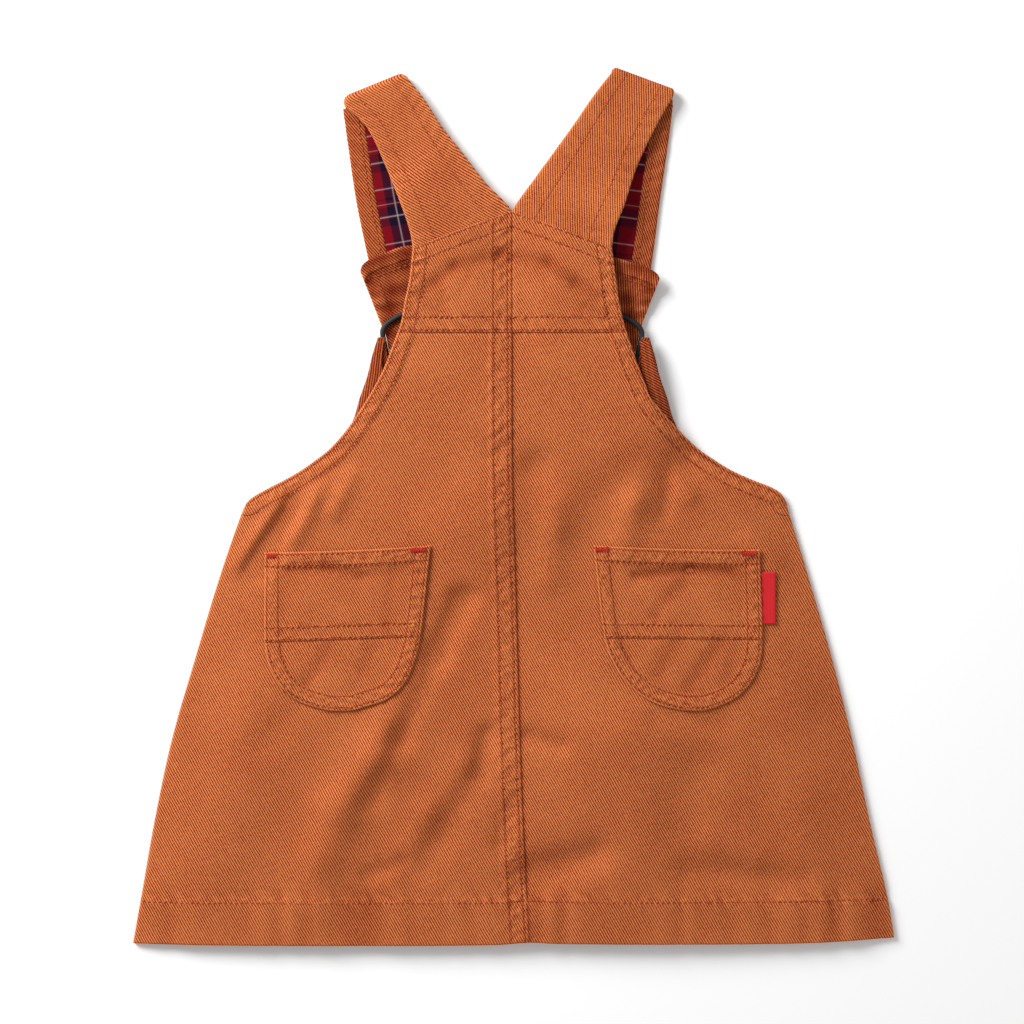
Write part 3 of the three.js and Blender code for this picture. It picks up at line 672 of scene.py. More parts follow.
def yoke_half(which):
    side = buckles[which][0]
    tucked = 0 if side < 0 else yoke_tucked_under
    columns = 44
    rows = 48

    def across_yoke(seam_y, edge_y, reach):
        seam = read(centre_seam, "x", seam_y) - tucked
        return mix(seam, back_edge(which, np.minimum(edge_y, armhole_top)), reach)

    def place(u, v):
        inward = 1 - u if side < 0 else u
        rough = mix(yoke_seam_y, apex[1], v), mix(yoke_seam_y, chevron_ends[which][1], v)
        width = np.abs(across_yoke(*rough, 1) - across_yoke(*rough, 0))
        reach = narrow_at_edges(inward, columns, width) / width
        above_seam = chevron_y(across_yoke(*rough, reach)) - yoke_seam_y
        y = yoke_seam_y + narrow_at_edges(v, rows, above_seam)
        x = across_yoke(y, y, reach)
        inside = distance_to_path(x, y, armhole_path(which, 80.0))
        beside = read(centre_seam, "x", y) - x
        below = (chevron_y(x) - y) * chevron_square
        crease = 1.5 * creases(yoke_folds, x, y)
        drop = rolled(inside) + rolled(below) + rolled(y - yoke_seam_y)
        if side < 0:
            drop = drop + rolled(beside) - 0.25 * (1 - smooth(beside, seam_band, seam_band + 2))
        else:
            drop = drop + 0.9 * smooth(beside, -0.5, 0.9)
        z = yoke_top(x, y) + crease - drop
        # The colour follows the puckers and creases: paler where raised, partly wash wear, and darker in
        # the creases as painted shade; the folded edges are rubbed paler.
        wear_and_shade = back_relief(x, y) * 0.8 + crease * 0.6 + 1.3 * worn(inside) + 0.9 * worn(below)
        wear_and_shade = wear_and_shade + 0.6 * worn(y - yoke_seam_y)
        across, along = twill(x, y, body_rib_angle)
        seam_rows = seam_rows_at(beside) if side < 0 else no_row
        nearer = np.minimum(below - 1.0, y - yoke_seam_y - 1.1)
        return x, y, z, across, along, wear_and_shade, inside, seam_rows, nearer

    return net(f"yoke_{which}_cloth", columns, rows, place, 1.4, cotton)


for which in buckles:
    yoke = yoke_half(which)
    laid(yoke, [f"yoke_{which}"])


# Shoulder straps, each one length of drill with its edges turned in. It runs from under the yoke
# over the shoulder, down the inside of the front, round the buckle's bar, and up to a hemmed end.
strap_cloth = 1.2
strap_width = 31.2
fold_radius = 2.5
wire_radius = 1.3
wire_height = 4.3
bar_place = 18
back_rib_angles = {"left": math.radians(150), "right": math.radians(91)}
front_rib_angles = {"left": math.radians(130), "right": math.radians(110)}
end_rib_angles = {"left": math.radians(145), "right": math.radians(93)}
back_straps = {
    "left": [
        (-49.6, 122.5, 0.6, 139.0), (-50.2, 129.1, -0.95, 147.9), (-51.8, 138, -14.0, 162.0),
        (-56.7, 152.3, -25.2, 176.6), (-63.7, 169.8, -36.0, 190.4), (-72.7, 188.8, -44.7, 204),
    ],
    "right": [
        (48.6, 122.5, -2.0, 139.0), (49.0, 129.1, -0.55, 147.9), (50.4, 138, 9.7, 162.8),
        (55.2, 150.3, 20.2, 177.3), (61.2, 168.8, 29.7, 190.5), (69.7, 187.3, 39.2, 204.4),
    ],
}
shoulder_folds = {"left": (-86.0, 204.8, -54.0, 217.8), "right": (80.9, 208.7, 49.9, 220.2)}
front_straps = {
    "left": [(-85.3, 198.0), (-82.4, 178), (-78.8, 154), (-74.8, 134), (-71.2, 118)],
    "right": [(79.9, 201.0), (76.8, 178), (73.3, 154), (70.8, 134), (68.3, 117)],
}
front_strap_slant = {"left": (0.985, 0.17), "right": (-0.99, 0.137)}
under_buckle = [(15.8, -15.4, -8, 0.6), (16.0, -16.0, 4, 0.6), (16.1, -16.1, 12, 1.2)]
over_buckle = {
    "left": [
        (16.1, -16.1, 11, 5.0), (16.1, -16.1, 4, 2.35), (17.4, -15.0, -3, 2.1), (18.4, -13.9, -9, 2.3),
    ],
    "right": [
        (16.1, -16.1, 11, 5.0), (16.1, -16.1, 4, 2.35), (16.4, -15.2, -3, 2.1), (17.4, -14.4, -9, 2.3),
    ],
}
strap_ends = {
    "left": [
        (19.6, -16.5, -12.2, -20.0, 3.7), (21.0, -25, -10.6, -29.2, 4.3),
        (22.0, -31.2, -9.4, -35.9, 5.2),
    ],
    "right": [
        (18.2, -14.5, -13.2, -17.4, 3.7), (19.4, -21.5, -11.8, -24.6, 4.2),
        (20.3, -27.7, -10.5, -30.8, 5.2),
    ],
}
loop_half = 16.1


def half_turn(outer, inner, away, radius, height, start):
    """Both edges of a strap round a half turn, from one layer to the other."""
    stations = []
    for angle in np.linspace(start, start + math.pi, 9):
        shift = np.array([*away, 0]) * radius * abs(math.sin(angle))
        shift = shift + [0, 0, height + radius * math.cos(angle)]
        stations.append(tuple(np.array([*edge, 0]) + shift for edge in (outer, inner)))
    return stations


def buckle_station(which, out, out_down, inside, in_down, z):
    """Both edges of a strap at a section by its buckle."""
    places = at_buckle(which, out, out_down), at_buckle(which, inside, in_down)
    return tuple(np.array([*place, z]) for place in places)


def strap_stations(which):
    """Both edges of a strap at each section along it, and how many sections come before its end."""
    side = buckles[which][0]
    stations = []
    for outer_x, outer_y, inner_x, inner_y in back_straps[which]:
        edges = []
        for x, y in ((outer_x, outer_y), (inner_x, inner_y)):
            tucked = 0.9 * (1 - smooth(y, chevron_y(x) - 4, chevron_y(x)))
            edges.append(np.array([x, y, float(back_under(x, y)) + strap_cloth / 2 - tucked]))
        stations.append(tuple(edges))
    outer_x, outer_y, inner_x, inner_y = shoulder_folds[which]
    length = math.hypot(inner_x - outer_x, inner_y - outer_y)
    away = (side * (inner_y - outer_y) / length, -side * (inner_x - outer_x) / length)
    back = fold_radius + strap_cloth / 2
    outer = (outer_x - back * away[0], outer_y - back * away[1])
    inner = (inner_x - back * away[0], inner_y - back * away[1])
    stations += half_turn(outer, inner, away, fold_radius, strap_cloth / 2 + fold_radius, 0)
    slant = np.array([*front_strap_slant[which], 0]) * strap_width
    for x, y in front_straps[which]:
        edge = np.array([x, y, strap_cloth / 2])
        stations.append((edge, edge + slant))
    for out, inside, down, z in under_buckle:
        stations.append(buckle_station(which, out, down, inside, down, z))
    to_hem = (-side * math.sin(buckle_tilt), -math.cos(buckle_tilt))
    wrap = wire_radius + gap + strap_cloth / 2
    bar = at_buckle(which, loop_half, bar_place), at_buckle(which, -loop_half, bar_place)
    stations += half_turn(*bar, to_hem, wrap, wire_height, math.pi)
    turned = len(stations)
    for out, inside, down, z in over_buckle[which]:
        stations.append(buckle_station(which, out, down, inside, down, z))
    for section in strap_ends[which]:
        stations.append(buckle_station(which, *section))
    return np.array(stations), turned


class StrapShape:
    """A strap's surface: places by the distance along it and the share across it."""

    def __init__(self, which):
        self.which = which
        stations, turned = strap_stations(which)
        middle = stations.mean(axis=1)
        steps = np.linalg.norm(np.diff(middle, axis=0), axis=1)
        self.along = np.concatenate([[0], np.cumsum(steps)])
        self.edges = {}
        for edge, name in enumerate(("outer", "inner")):
            columns = {"s": self.along}
            for axis, letter in enumerate("xyz"):
                columns[letter] = stations[:, edge, axis]
            self.edges[name] = columns
        self.length = self.along[-1]
        self.turned = self.along[turned]
        self.shoulder = self.along[len(back_straps[which]) + 4]
        outer_x, outer_y, inner_x, inner_y = shoulder_folds[which]
        away = np.array([inner_y - outer_y, outer_x - inner_x]) * buckles[which][0]
        self.away = away / np.linalg.norm(away)

    def edge(self, name, s):
        return np.stack([read(self.edges[name], letter, s, "s") for letter in "xyz"], -1)

    def at(self, s, across):
        """A place on the strap's middle layer, from its outer edge, 0, to its inner edge, 1."""
        return mix(self.edge("outer", s), self.edge("inner", s), np.expand_dims(across, -1))

    def ahead(self, s, across):
        """The way that the strap runs."""
        step = self.at(s + 0.4, across) - self.at(s - 0.4, across)
        return step / np.linalg.norm(step, axis=-1, keepdims=True)

    def outward(self, s, across):
        """The way that the strap's outside faces."""
        ahead = self.ahead(s, across)
        sideways = self.edge("inner", s) - self.edge("outer", s)
        if self.which == "right":
            sideways = -sideways
        normal = np.cross(sideways, ahead)
        return normal / np.linalg.norm(normal, axis=-1, keepdims=True)


strap_shapes = {which: StrapShape(which) for which in buckles}
strap_rows = 7.0
end_hem = 6.5
end_bows = {"left": 3.0, "right": 2.2}
corner_radii = {"left": 4.0, "right": 2.0}


def end_bow(which, shape, s, across):
    """How far the hemmed end bows out past a straight line, less at its rounded corners."""
    side_distance = np.minimum(across, 1 - across) * strap_width
    corner = 1.2 * np.clip(1 - side_distance / 2.5, 0, 1) ** 2
    bow = end_bows[which] * (1 - (2 * across - 1) ** 4) - corner
    return bow * smooth(s, shape.length - 22, shape.length)


def rounded_corner(shape, s, side_distance):
    """How far the shoulder fold falls back at a corner, which rounds it."""
    radius = corner_radii[shape.which]
    short = np.clip(radius - side_distance, 0, 0.92 * radius)
    fall = radius - np.sqrt(radius ** 2 - short ** 2)
    reach = np.where(s > shape.shoulder, 22, 10)
    return fall * np.exp(-((s - shape.shoulder) / reach) ** 2)


def strap_relief(shape, s, across):
    side_distance = np.minimum(across, 1 - across) * strap_width
    band = 1 - smooth(side_distance, 6.0, 9.5)
    relief = 0.12 * band * roping(s, side_distance, 7.2, 5.0) + 0.14 * uneven(s / 9, across * 3.5, 1.0)
    on_end = smooth(s, shape.turned, shape.turned + 10)
    relief = relief + 0.6 * on_end * uneven(s / 3.6, across * 7, 3.0)
    at_hem = np.exp(-((s - shape.length + end_hem) / 3) ** 2)
    return relief + 0.12 * at_hem * roping(across * strap_width, s, 7, 6.0)


def moved(points, way, distance):
    return points + way * np.expand_dims(distance, -1)


def strap(which):
    shape = strap_shapes[which]
    columns = 26
    rows = 230

    def place(u, v):
        s = v * shape.length
        wide = narrow_at_edges(u, columns, strap_width)
        across = wide / strap_width if which == "left" else 1 - wide / strap_width
        side_distance = np.minimum(across, 1 - across) * strap_width
        relief = strap_relief(shape, s, across)
        band = 0.2 * (1 - smooth(side_distance, 6.8, 8.4))
        under = smooth(s, shape.shoulder - 3, shape.shoulder + 1)
        under = under * (1 - smooth(s, shape.turned - 14, shape.turned - 6))
        lift = strap_cloth / 2 + (relief + band) * (1 - under) - rolled(side_distance)
        hem = 0.8 * smooth(s, shape.length - end_hem - 1, shape.length - end_hem)
        points = moved(shape.at(s, across), shape.outward(s, across), lift + hem)
        points = moved(points, shape.ahead(s, across), end_bow(which, shape, s, across))
        points = moved(points, -np.array([*shape.away, 0]), rounded_corner(shape, s, side_distance))
        on_end = s > shape.turned
        x, y, z = points.T
        z = np.maximum(z, np.where(on_end, 1.5, 0.0))
        on_back = s < shape.shoulder + 4
        angle = np.where(on_back, back_rib_angles[which], front_rib_angles[which])
        angle = np.where(on_end, end_rib_angles[which], angle)
        ribs_across, ribs_along = twill(x, y + z * on_back, angle)
        # Painted shade: the strap's end past the buckle is darkened. The colour also follows the strap's
        # relief, paler where raised and darker in hollows, partly wash wear and partly painted light and
        # shade, and the edges are rubbed paler.
        wear_and_shade = relief * 1.8 + 1.2 * np.exp(-side_distance / 0.8) - 1.1 * on_end
        side_row = second_row + np.abs(side_distance - strap_rows)
        end_row = -np.abs(shape.length - s - end_hem)
        return x, y, z, ribs_across, ribs_along, wear_and_shade, no_row, side_row, end_row

    return net(f"strap_{which}_cloth", columns, rows, place, strap_cloth, cotton)


for which in buckles:
    piece = strap(which)
    laid(piece, [f"strap_{which}"])


# Turned edge of each front strap, where the drill is folded to the inside beside the lining.
# It is the same cloth as the strap, seen on its right side again.
turned_width = 10.3
front_pucker = 0.1
lining_ends = {"left": (121, 196), "right": (119.5, 198)}


def inside_strap(which, along, inset, height):
    """A place on the inside of a front strap, from its lower end, 0, to the shoulder, 1.

    The last value is the height of the strap's outer edge at that place.
    """
    slant = front_strap_slant[which]
    rows = table("x y", *reversed(front_straps[which]))
    edge_y = mix(lining_ends[which][0] - 4, lining_ends[which][1] + 3, along)
    x = read(rows, "x", edge_y) + slant[0] * inset
    return x, edge_y + slant[1] * inset, strap_cloth + height + 0 * x, edge_y


def turned_pucker(along, inset):
    return front_pucker * roping(along * 80, inset, 7.2, 5.0)


for which, (side, _, _) in buckles.items():
    def turned_place(u, v):
        wide = narrow_at_edges(u, 14, turned_width - 0.4)
        inset = wide + 0.2 if side < 0 else turned_width - 0.2 - wide
        pucker = turned_pucker(v, inset)
        x, y, z, _ = inside_strap(which, v, inset, 0.9)
        z = z + pucker - rolled(turned_width - 0.2 - inset) - rolled(inset - 0.2)
        ribs_across, ribs_along = twill(x, y, front_rib_angles[which])
        # Painted shade: the relief value is set 0.6 lower, which darkens the turned edge; its puckers
        # tint it lighter and darker.
        return x, y, z, ribs_across, ribs_along, pucker * 2 - 0.6, no_row, no_row, no_row

    turned_edge = net(f"strap_turned_edge_{which}", 14, 60, turned_place, 0.8, cotton)
    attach(turned_edge, "root")


# Check lining inside the front straps, a thin plain-woven cotton, dark red with navy bars and
# fine pale lines both ways, sewn down under the turned edges.
check_repeat = 27.0


def lining_finish():
    finish = Finish("check_lining", Roughness=0.95, Specular_IOR_Level=0.05)
    across, along, _ = finish.attribute("cloth")
    bars = []
    lines = []
    for place in (across, along):
        step = place.whole(check_repeat)
        bars.append(step.between(3.0, 12.5, 0.5) + step.between(15.6, 17.2, 0.4) * 0.7)
        lines.append(step.near(7.7, 0.35) + step.near(21.5, 0.3) + step.near(13.9, 0.22) * 0.6)
    weave = ((across * 7.0).sine() * (along * 7.0).sine()) * 0.5 + 0.5
    navy = finish.add("ShaderNodeClamp", {}, {"Value": bars[0] * 0.8 + bars[1] * 0.55})
    pale = finish.add("ShaderNodeClamp", {}, {"Value": lines[0] * 0.55 + lines[1] * 0.55})
    # Painted shade: the red and the navy are darker than the lining's own colours, as it lies in shade.
    colour = finish.blend(navy, (0.18, 0.003, 0.007, 1), (0.004, 0.004, 0.016, 1))
    colour = finish.blend(pale, colour, (0.50, 0.36, 0.36, 1))
    colour = finish.blend(weave * 0.25, colour, (0.05, 0.006, 0.015, 1))
    return finish.show(Base_Color=colour, Normal=finish.bump(weave * 0.05))


check = lining_finish()
check_shifts = {"left": 15.7, "right": 12.0}
for which, (side, _, _) in buckles.items():
    def lining_place(u, v):
        wide = u * (strap_width - turned_width - 2)
        inset = turned_width - 0.6 + wide if side < 0 else strap_width - 2.6 - wide
        crease = 0.12 * uneven(v * 9, wide / 5, 3.0)
        x, y, z, edge_y = inside_strap(which, v, inset, 0.45)
        return x, y, z + crease, inset + check_shifts[which], edge_y, 0.0, no_row, no_row, no_row

    lining = net(f"strap_lining_{which}_cloth", 16, 60, lining_place, 0.35, check)
    laid(lining, [f"strap_lining_{which}"])


# Patch pockets, each an upper and a lower piece of drill joined by a felled seam, with the edges
# turned under, two rows of stitches all round and a hemmed mouth that gapes a little.
pocket_cloth = 1.0
pocket_hem = 7.5
mouth_row_gap = 6.0
pocket_tables = {
    "left": table(
        "y left right",
        (-101.5, -91.6, -80.8), (-99.3, -100.3, -73.6), (-96.3, -107.8, -64.6), (-92.3, -113.3, -58.6),
        (-86.3, -118.3, -53.4), (-78.8, -121.8, -49.9), (-71.3, -123.7, -47.6), (-63.3, -124.2, -45.9),
        (-55, -124.3, -44.9), (-42, -124.3, -43.5), (-28.2, -124.3, -42.1), (-20.5, -124.3, -41.2),
    ),
    "right": table(
        "y left right",
        (-101.3, 84.7, 95.2), (-99.3, 75.8, 101.4), (-96.3, 68.2, 108.4), (-92.3, 61.8, 113.9),
        (-86.3, 55.3, 118.9), (-78.8, 50.3, 122.4), (-71.3, 46.9, 123.8), (-63.3, 44.9, 124.1),
        (-55, 43.6, 124.0), (-42, 42.2, 123.6), (-27.7, 40.6, 123.1), (-20.0, 39.8, 122.8),
    ),
}
pocket_mouths = {"left": (-22.2, -18.8), "right": (-18.8, -20.8)}
pocket_seams = {"left": (-60.6, -57.6), "right": (-58.4, -59.2)}
pocket_seam_rows = 6.0
foot_end = -80.0
lower_net_top = -64.0
upper_net_foot = -66.6
lower_net_length = 37.5
upper_net_length = 46.0
lap_above_row = 5.5
lap_below_row = 6.8
pocket_folds = table(
    "from_x from_y to_x to_y width height",
    (-111, -31, -92, -30, 3, -0.9), (-92, -30, -76, -34, 3, -0.9), (-76, -34, -58, -32, 2.6, -0.5),
    (-112, -36, -114, -50, 4, -0.3), (-61, -36, -63, -62, 3, -0.35), (-98, -40, -84, -54, 7, 0.6),
    (-92, -70, -104, -90, 4, -0.6), (-70, -68, -78, -88, 4, -0.5), (-96, -88, -76, -88, 5, 0.5),
    (61, -34, 88, -31, 2.6, -1.4), (88, -31, 108, -32, 2.6, -1.4), (112, -34, 118, -36, 3, -0.7),
    (46, -26, 46, -56, 4, -0.9), (46, -56, 56, -80, 4, -0.8), (66, -42, 78, -52, 5, 0.6),
    (84, -38, 70, -54, 3.5, -0.7), (104, -66, 88, -88, 4, -0.9), (82, -66, 72, -84, 4, -0.6),
    (70, -70, 62, -82, 4, 0.5), (110, -70, 106, -88, 4, -0.5), (96, -44, 104, -56, 5, 0.5),
    (74, -92, 96, -94, 3.5, -0.5),
)


def pocket_seam_y(which, x):
    rows = pocket_tables[which]
    share = (x - rows["left"][8]) / (rows["right"][8] - rows["left"][8])
    return mix(*pocket_seams[which], share)


def pocket_outline(which):
    """The pocket's sides and round foot, from one end of the mouth to the other."""
    rows = pocket_tables[which]
    y = np.concatenate([np.linspace(rows["y"][0], -90, 14), np.linspace(-86, rows["y"][-1] + 2, 18)])
    left = np.stack([read(rows, "left", y), y], 1)[::-1]
    right = np.stack([read(rows, "right", y), y], 1)
    return np.concatenate([left, right])


def pocket_mouth_y(which, x):
    rows = pocket_tables[which]
    share = np.clip((x - rows["left"][-1]) / (rows["right"][-1] - rows["left"][-1]), 0, 1)
    sag = 0.8 * share * (1 - share) * 4
    return mix(*pocket_mouths[which], share) - sag


def pocket_surface(which, x, y):
    """The pocket's upper side, its distance in from the sewn edge and the mouth, and its puckers and
    creases for its colour, darker in the creases as painted shade.
    """
    inside = distance_to_path(x, y, pocket_outline(which))
    to_mouth = pocket_mouth_y(which, x) - y
    beyond_seam = y - pocket_seam_y(which, x)
    band = 1 - smooth(inside, 6.2, 9)
    pucker = 0.24 * band * roping(y + 0.5 * x, inside, 6.4, 7.0)
    pucker = pucker + 0.22 * np.exp(-((beyond_seam + 3.2) / 5) ** 2) * roping(x, beyond_seam, 6.8, 8.0)
    pucker = pucker + 0.16 * np.exp(-((to_mouth - 5) / 5) ** 2) * roping(x, to_mouth, 7.4, 9.0)
    crease = creases(pocket_folds, x, y) * smooth(inside, 3, 10)
    gape = 0.9 * (1 - smooth(to_mouth, 0, 18)) * smooth(inside, 3, 20)
    raised = band_rise * np.maximum(band, 1 - smooth(to_mouth, pocket_hem, pocket_hem + 1.4))
    z = back_under(x, y) + back_cloth + pocket_cloth + gape + raised + pucker + 0.8 * crease
    return z, inside, to_mouth, pucker * 0.8 + crease * 0.5


def pocket_piece(which, part):
    outline = pocket_tables[which]
    columns = 66
    rows = 46
    foot = outline["y"][0]
    mouth = outline["y"][-1]

    def place(u, v):
        if part == "lower":
            share = narrow_at_edges(v, rows, lower_net_length) / lower_net_length
            row = mix(foot, lower_net_top, share)
        else:
            share = narrow_at_edges(v, rows, upper_net_length) / upper_net_length
            row = mix(upper_net_foot, mouth, share)
        left = read(outline, "left", row)
        right = read(outline, "right", row)
        x = left + narrow_at_edges(u, columns, right - left)
        seam = pocket_seam_y(which, x)
        if part == "lower":
            share = (row - foot_end) / (lower_net_top - foot_end)
            y = np.where(row > foot_end, mix(foot_end, seam - lap_above_row, share), row)
        else:
            share = (row - upper_net_foot) / (mouth - upper_net_foot)
            y = mix(seam - lap_below_row, pocket_mouth_y(which, x), share)
        z, inside, to_mouth, wear_and_shade = pocket_surface(which, x, y)
        drop = rolled(inside) + rolled(to_mouth)
        if part == "lower":
            drop = drop + 0.3 * smooth(y, seam - 8.2, seam - 6.2)
        else:
            from_edge = y - seam + lap_below_row
            drop = drop + rolled(from_edge) - 0.4
            wear_and_shade = wear_and_shade + 0.5 * worn(from_edge)
        wear_and_shade = wear_and_shade + 1.4 * worn(inside) + 1.3 * worn(to_mouth)
        across, along = twill(x, y, body_rib_angle)
        seam_rows = (seam - y) * felled_row_gap / pocket_seam_rows
        mouth_rows = mix(first_row, second_row, (to_mouth - first_row) / mouth_row_gap)
        return x, y, z - drop, across, along, wear_and_shade, inside, mouth_rows, seam_rows

    return net(f"pocket_{which}_{part}_cloth", columns, rows, place, 0.9, cotton)


pocket_cuts = {"lower": ((0.078, 0.038), 0.0024), "upper": ((0.084, 0.048), 0.0038)}
for which in buckles:
    for part, (flat, area) in pocket_cuts.items():
        pocket = pocket_piece(which, part)
        laid(pocket, [f"pocket_{which}_{part}"])


# Label tab, a short folded piece of red woven tape with nothing on it, caught in the side of the
# right pocket.
tab_left, tab_right, tab_bottom, tab_top = 123.6, 130.9, -58.2, -32.2


def tape_finish():
    finish = Finish("woven_tape", Roughness=0.6, Specular_IOR_Level=0.3, Sheen_Weight=0.2)
    across, along, _ = finish.attribute("cloth")
    weave = (across * 9.0).sine() * 0.5 + (along * 12.0).sine() * 0.5
    edge = across.near(0.0, 0.5) + across.near(tab_right - tab_left, 0.5)
    colour = finish.blend(weave * 0.25 + 0.5, (0.42, 0.002, 0.005, 1), (0.72, 0.004, 0.012, 1))
    return finish.show(Base_Color=colour, Normal=finish.bump(weave * 0.04 + edge * 0.05))


def tab_place(u, v):
    x = mix(tab_left, tab_right, u)
    y = mix(tab_bottom, tab_top, v)
    wide = (tab_right - tab_left) * u
    curl = 0.3 * u ** 2 + 0.06 * uneven(v * 4, u * 2)
    z = back_under(x, y) + back_cloth + 1.0 + curl - 0.5 * rolled((tab_right - tab_left) - wide)
    return x, y, z, wide, y - tab_bottom, 0.0, no_row, no_row, no_row


label_tab = net("label_tab_tape", 10, 26, tab_place, 0.5, tape_finish())
laid(label_tab, ["label_tab"])


# Buckles, each one length of black coated wire: an arched top bar, two side bars and a narrow
# loop at the foot that hooks on the button, with a straight bar across for the strap.
frame_half = 17.5
frame_corner = 4
frame_arch = 5
side_bar_end = 20
loop_radius = 4.7
loop_place = 35.6
wire_drop = 0.8
bar_radius = 1.15


def curve(points, count=12):
    """Points along a Bezier curve of two, three or four control points, without the last one."""
    points = [Vector(point) for point in points]
    line = []
    for n in range(count):
        level = points
        while len(level) > 1:
            level = [a.lerp(b, n / count) for a, b in zip(level[:-1], level[1:])]
        line.append(level[0])
    return line


def buckle_outline():
    """The wire's middle line in the buckle's own frame, as points out and down."""
    lead = frame_half - frame_corner
    corner_drop = -frame_arch * (1 - (lead / frame_half) ** 2)
    arch_control = corner_drop - 2 * frame_arch * lead ** 2 / frame_half ** 2
    arch_top = (corner_drop + arch_control) / 2
    half = curve([(0, arch_top), (lead / 2, arch_top), (lead, corner_drop)])
    half += curve([(lead, corner_drop), (frame_half, 0), (frame_half, frame_corner)], 8)
    half += curve([(frame_half, frame_corner), (frame_half, side_bar_end)], 5)
    half += curve([
        (frame_half, side_bar_end), (frame_half, side_bar_end + 7),
        (loop_radius, loop_place - 9), (loop_radius, loop_place),
    ], 14)
    for n in range(11):
        angle = n / 10 * math.pi / 2
        half.append(Vector((loop_radius * math.cos(angle), loop_place + loop_radius * math.sin(angle))))
    return half + [Vector((-point.x, point.y)) for point in reversed(half[1:-1])]


def wire_finish():
    finish = Finish("black_wire", Metallic=0.2, Specular_IOR_Level=0.3)
    grain = finish.noise(finish.point(), 2600.0, 3.0)
    scuff = finish.noise(finish.point(), 300.0, 3.0)
    colour = finish.blend(scuff, (0.012, 0.013, 0.015, 1), (0.032, 0.034, 0.037, 1))
    return finish.show(Base_Color=colour, Roughness=scuff * 0.2 + 0.48, Normal=finish.bump(grain * 0.02))


black_wire = wire_finish()
wire_sides = 14


def bent_wire(which, name):
    """A round wire along the outline: a spun ring, each slice of which is moved to its place."""
    line = buckle_outline()
    wire = bmesh.new()
    section = bmesh.ops.create_circle(wire, segments=wire_sides, radius=wire_radius)["verts"]
    bmesh.ops.rotate(wire, verts=section, cent=(0, 0, 0), matrix=Matrix.Rotation(math.pi / 2, 3, "X"))
    ring_radius = 30
    bmesh.ops.translate(wire, verts=section, vec=(ring_radius, 0, 0))
    bmesh.ops.spin(
        wire, geom=wire.verts[:] + wire.edges[:], cent=(0, 0, 0), axis=(0, 0, 1),
        angle=2 * math.pi, steps=len(line), use_merge=True,
    )
    side, _, _ = buckles[which]
    for vertex in wire.verts:
        turn = math.atan2(vertex.co.y, vertex.co.x) / (2 * math.pi) % 1
        n = round(turn * len(line)) % len(line)
        sideways = math.hypot(vertex.co.x, vertex.co.y) - ring_radius
        tangent = (line[(n + 1) % len(line)] - line[n - 1]).normalized()
        out = line[n].x + sideways * tangent.y
        down = line[n].y - sideways * tangent.x
        drop = wire_drop * float(smooth(line[n].y, side_bar_end, loop_place))
        vertex.co = (*at_buckle(which, out, down), wire_height - drop + vertex.co.z)
    bar = bmesh.ops.create_cone(
        wire, cap_ends=True, segments=wire_sides, radius1=bar_radius, radius2=bar_radius,
        depth=2 * frame_half,
    )["verts"]
    turn = Matrix.Rotation(math.pi / 2, 4, "Y")
    tilt = Matrix.Rotation(-side * buckle_tilt, 4, "Z")
    place = Matrix.Translation((*at_buckle(which, 0, bar_place), wire_height))
    bmesh.ops.transform(wire, verts=bar, matrix=place @ tilt @ turn)
    return finished(wire, name, black_wire)


def finished(form, name, *finishes):
    """A mesh made in millimetres, in metres and with its finishes, ready to ride."""
    bmesh.ops.recalc_face_normals(form, faces=form.faces)
    bmesh.ops.scale(form, verts=form.verts, vec=(mm, mm, mm))
    mesh = bpy.data.meshes.new(name)
    form.to_mesh(mesh)
    form.free()
    for finish in finishes:
        mesh.materials.append(finish)
    mesh.shade_smooth()
    piece = bpy.data.objects.new(name, mesh)
    bpy.context.collection.objects.link(piece)
    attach(piece, "root")
    return piece


for which in buckles:
    buckle = bent_wire(which, f"buckle_{which}_wire")
    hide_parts(f"buckle_{which}")


# Shank buttons on the outside of the bib, black coated caps face down on the table, each with a
# neck that is riveted through the cloth and holds the buckle's loop.
button_profile = [
    (0, 0.25), (3.4, 0.22), (5.6, 0.12), (6.4, 0.0), (7.4, 0.05), (8.1, 0.4), (8.45, 0.95),
    (8.3, 1.5), (7.7, 1.8), (3.4, 1.85), (2.7, 2.3), (2.6, 3.0), (2.6, 5.7), (0, 5.7),
]
for which in buckles:
    button = bmesh.new()
    last = len(button_profile) - 1
    bmesh.ops.create_grid(button, x_segments=40, y_segments=last, size=1)
    for vertex in button.verts:
        turn = (vertex.co.x + 1) * math.pi
        radius, height = button_profile[round((vertex.co.y + 1) / 2 * last)]
        vertex.co = (radius * math.cos(turn), radius * math.sin(turn), height)
    bmesh.ops.remove_doubles(button, verts=button.verts, dist=0.001)
    bmesh.ops.translate(button, verts=button.verts, vec=(*at_buckle(which, 0, button_place), 0))
    cap = finished(button, f"button_{which}_cap", black_wire)
    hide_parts(f"button_{which}")


# Sewing thread, rows of single stitches along every seam and edge, in a polyester thread a little
# darker than the cloth. Each is a short rounded bar that sinks into its groove at both ends.
stitch_pitch = 2.8
stitch_length = 1.8
stitch_width = 0.8
stitch_height = 0.6
stitch_lean = 0.32


def thread_finish(name, deep, pale):
    finish = Finish(name, Roughness=0.7, Specular_IOR_Level=0.25)
    twist = finish.noise(finish.point(), 1500.0, 2.0)
    return finish.show(Base_Color=finish.blend(twist, deep, pale), Normal=finish.bump(twist * 0.08))


thread = thread_finish("rust_thread", (0.21, 0.018, 0.004, 1), (0.50, 0.105, 0.030, 1))
red_thread = thread_finish("red_thread", (0.30, 0.004, 0.003, 1), (0.64, 0.022, 0.016, 1))


def one_stitch():
    form = bmesh.new()
    bmesh.ops.create_uvsphere(form, u_segments=6, v_segments=5, radius=0.5)
    mesh = bpy.data.meshes.new("one_stitch")
    form.to_mesh(mesh)
    form.free()
    return mesh


single = one_stitch()


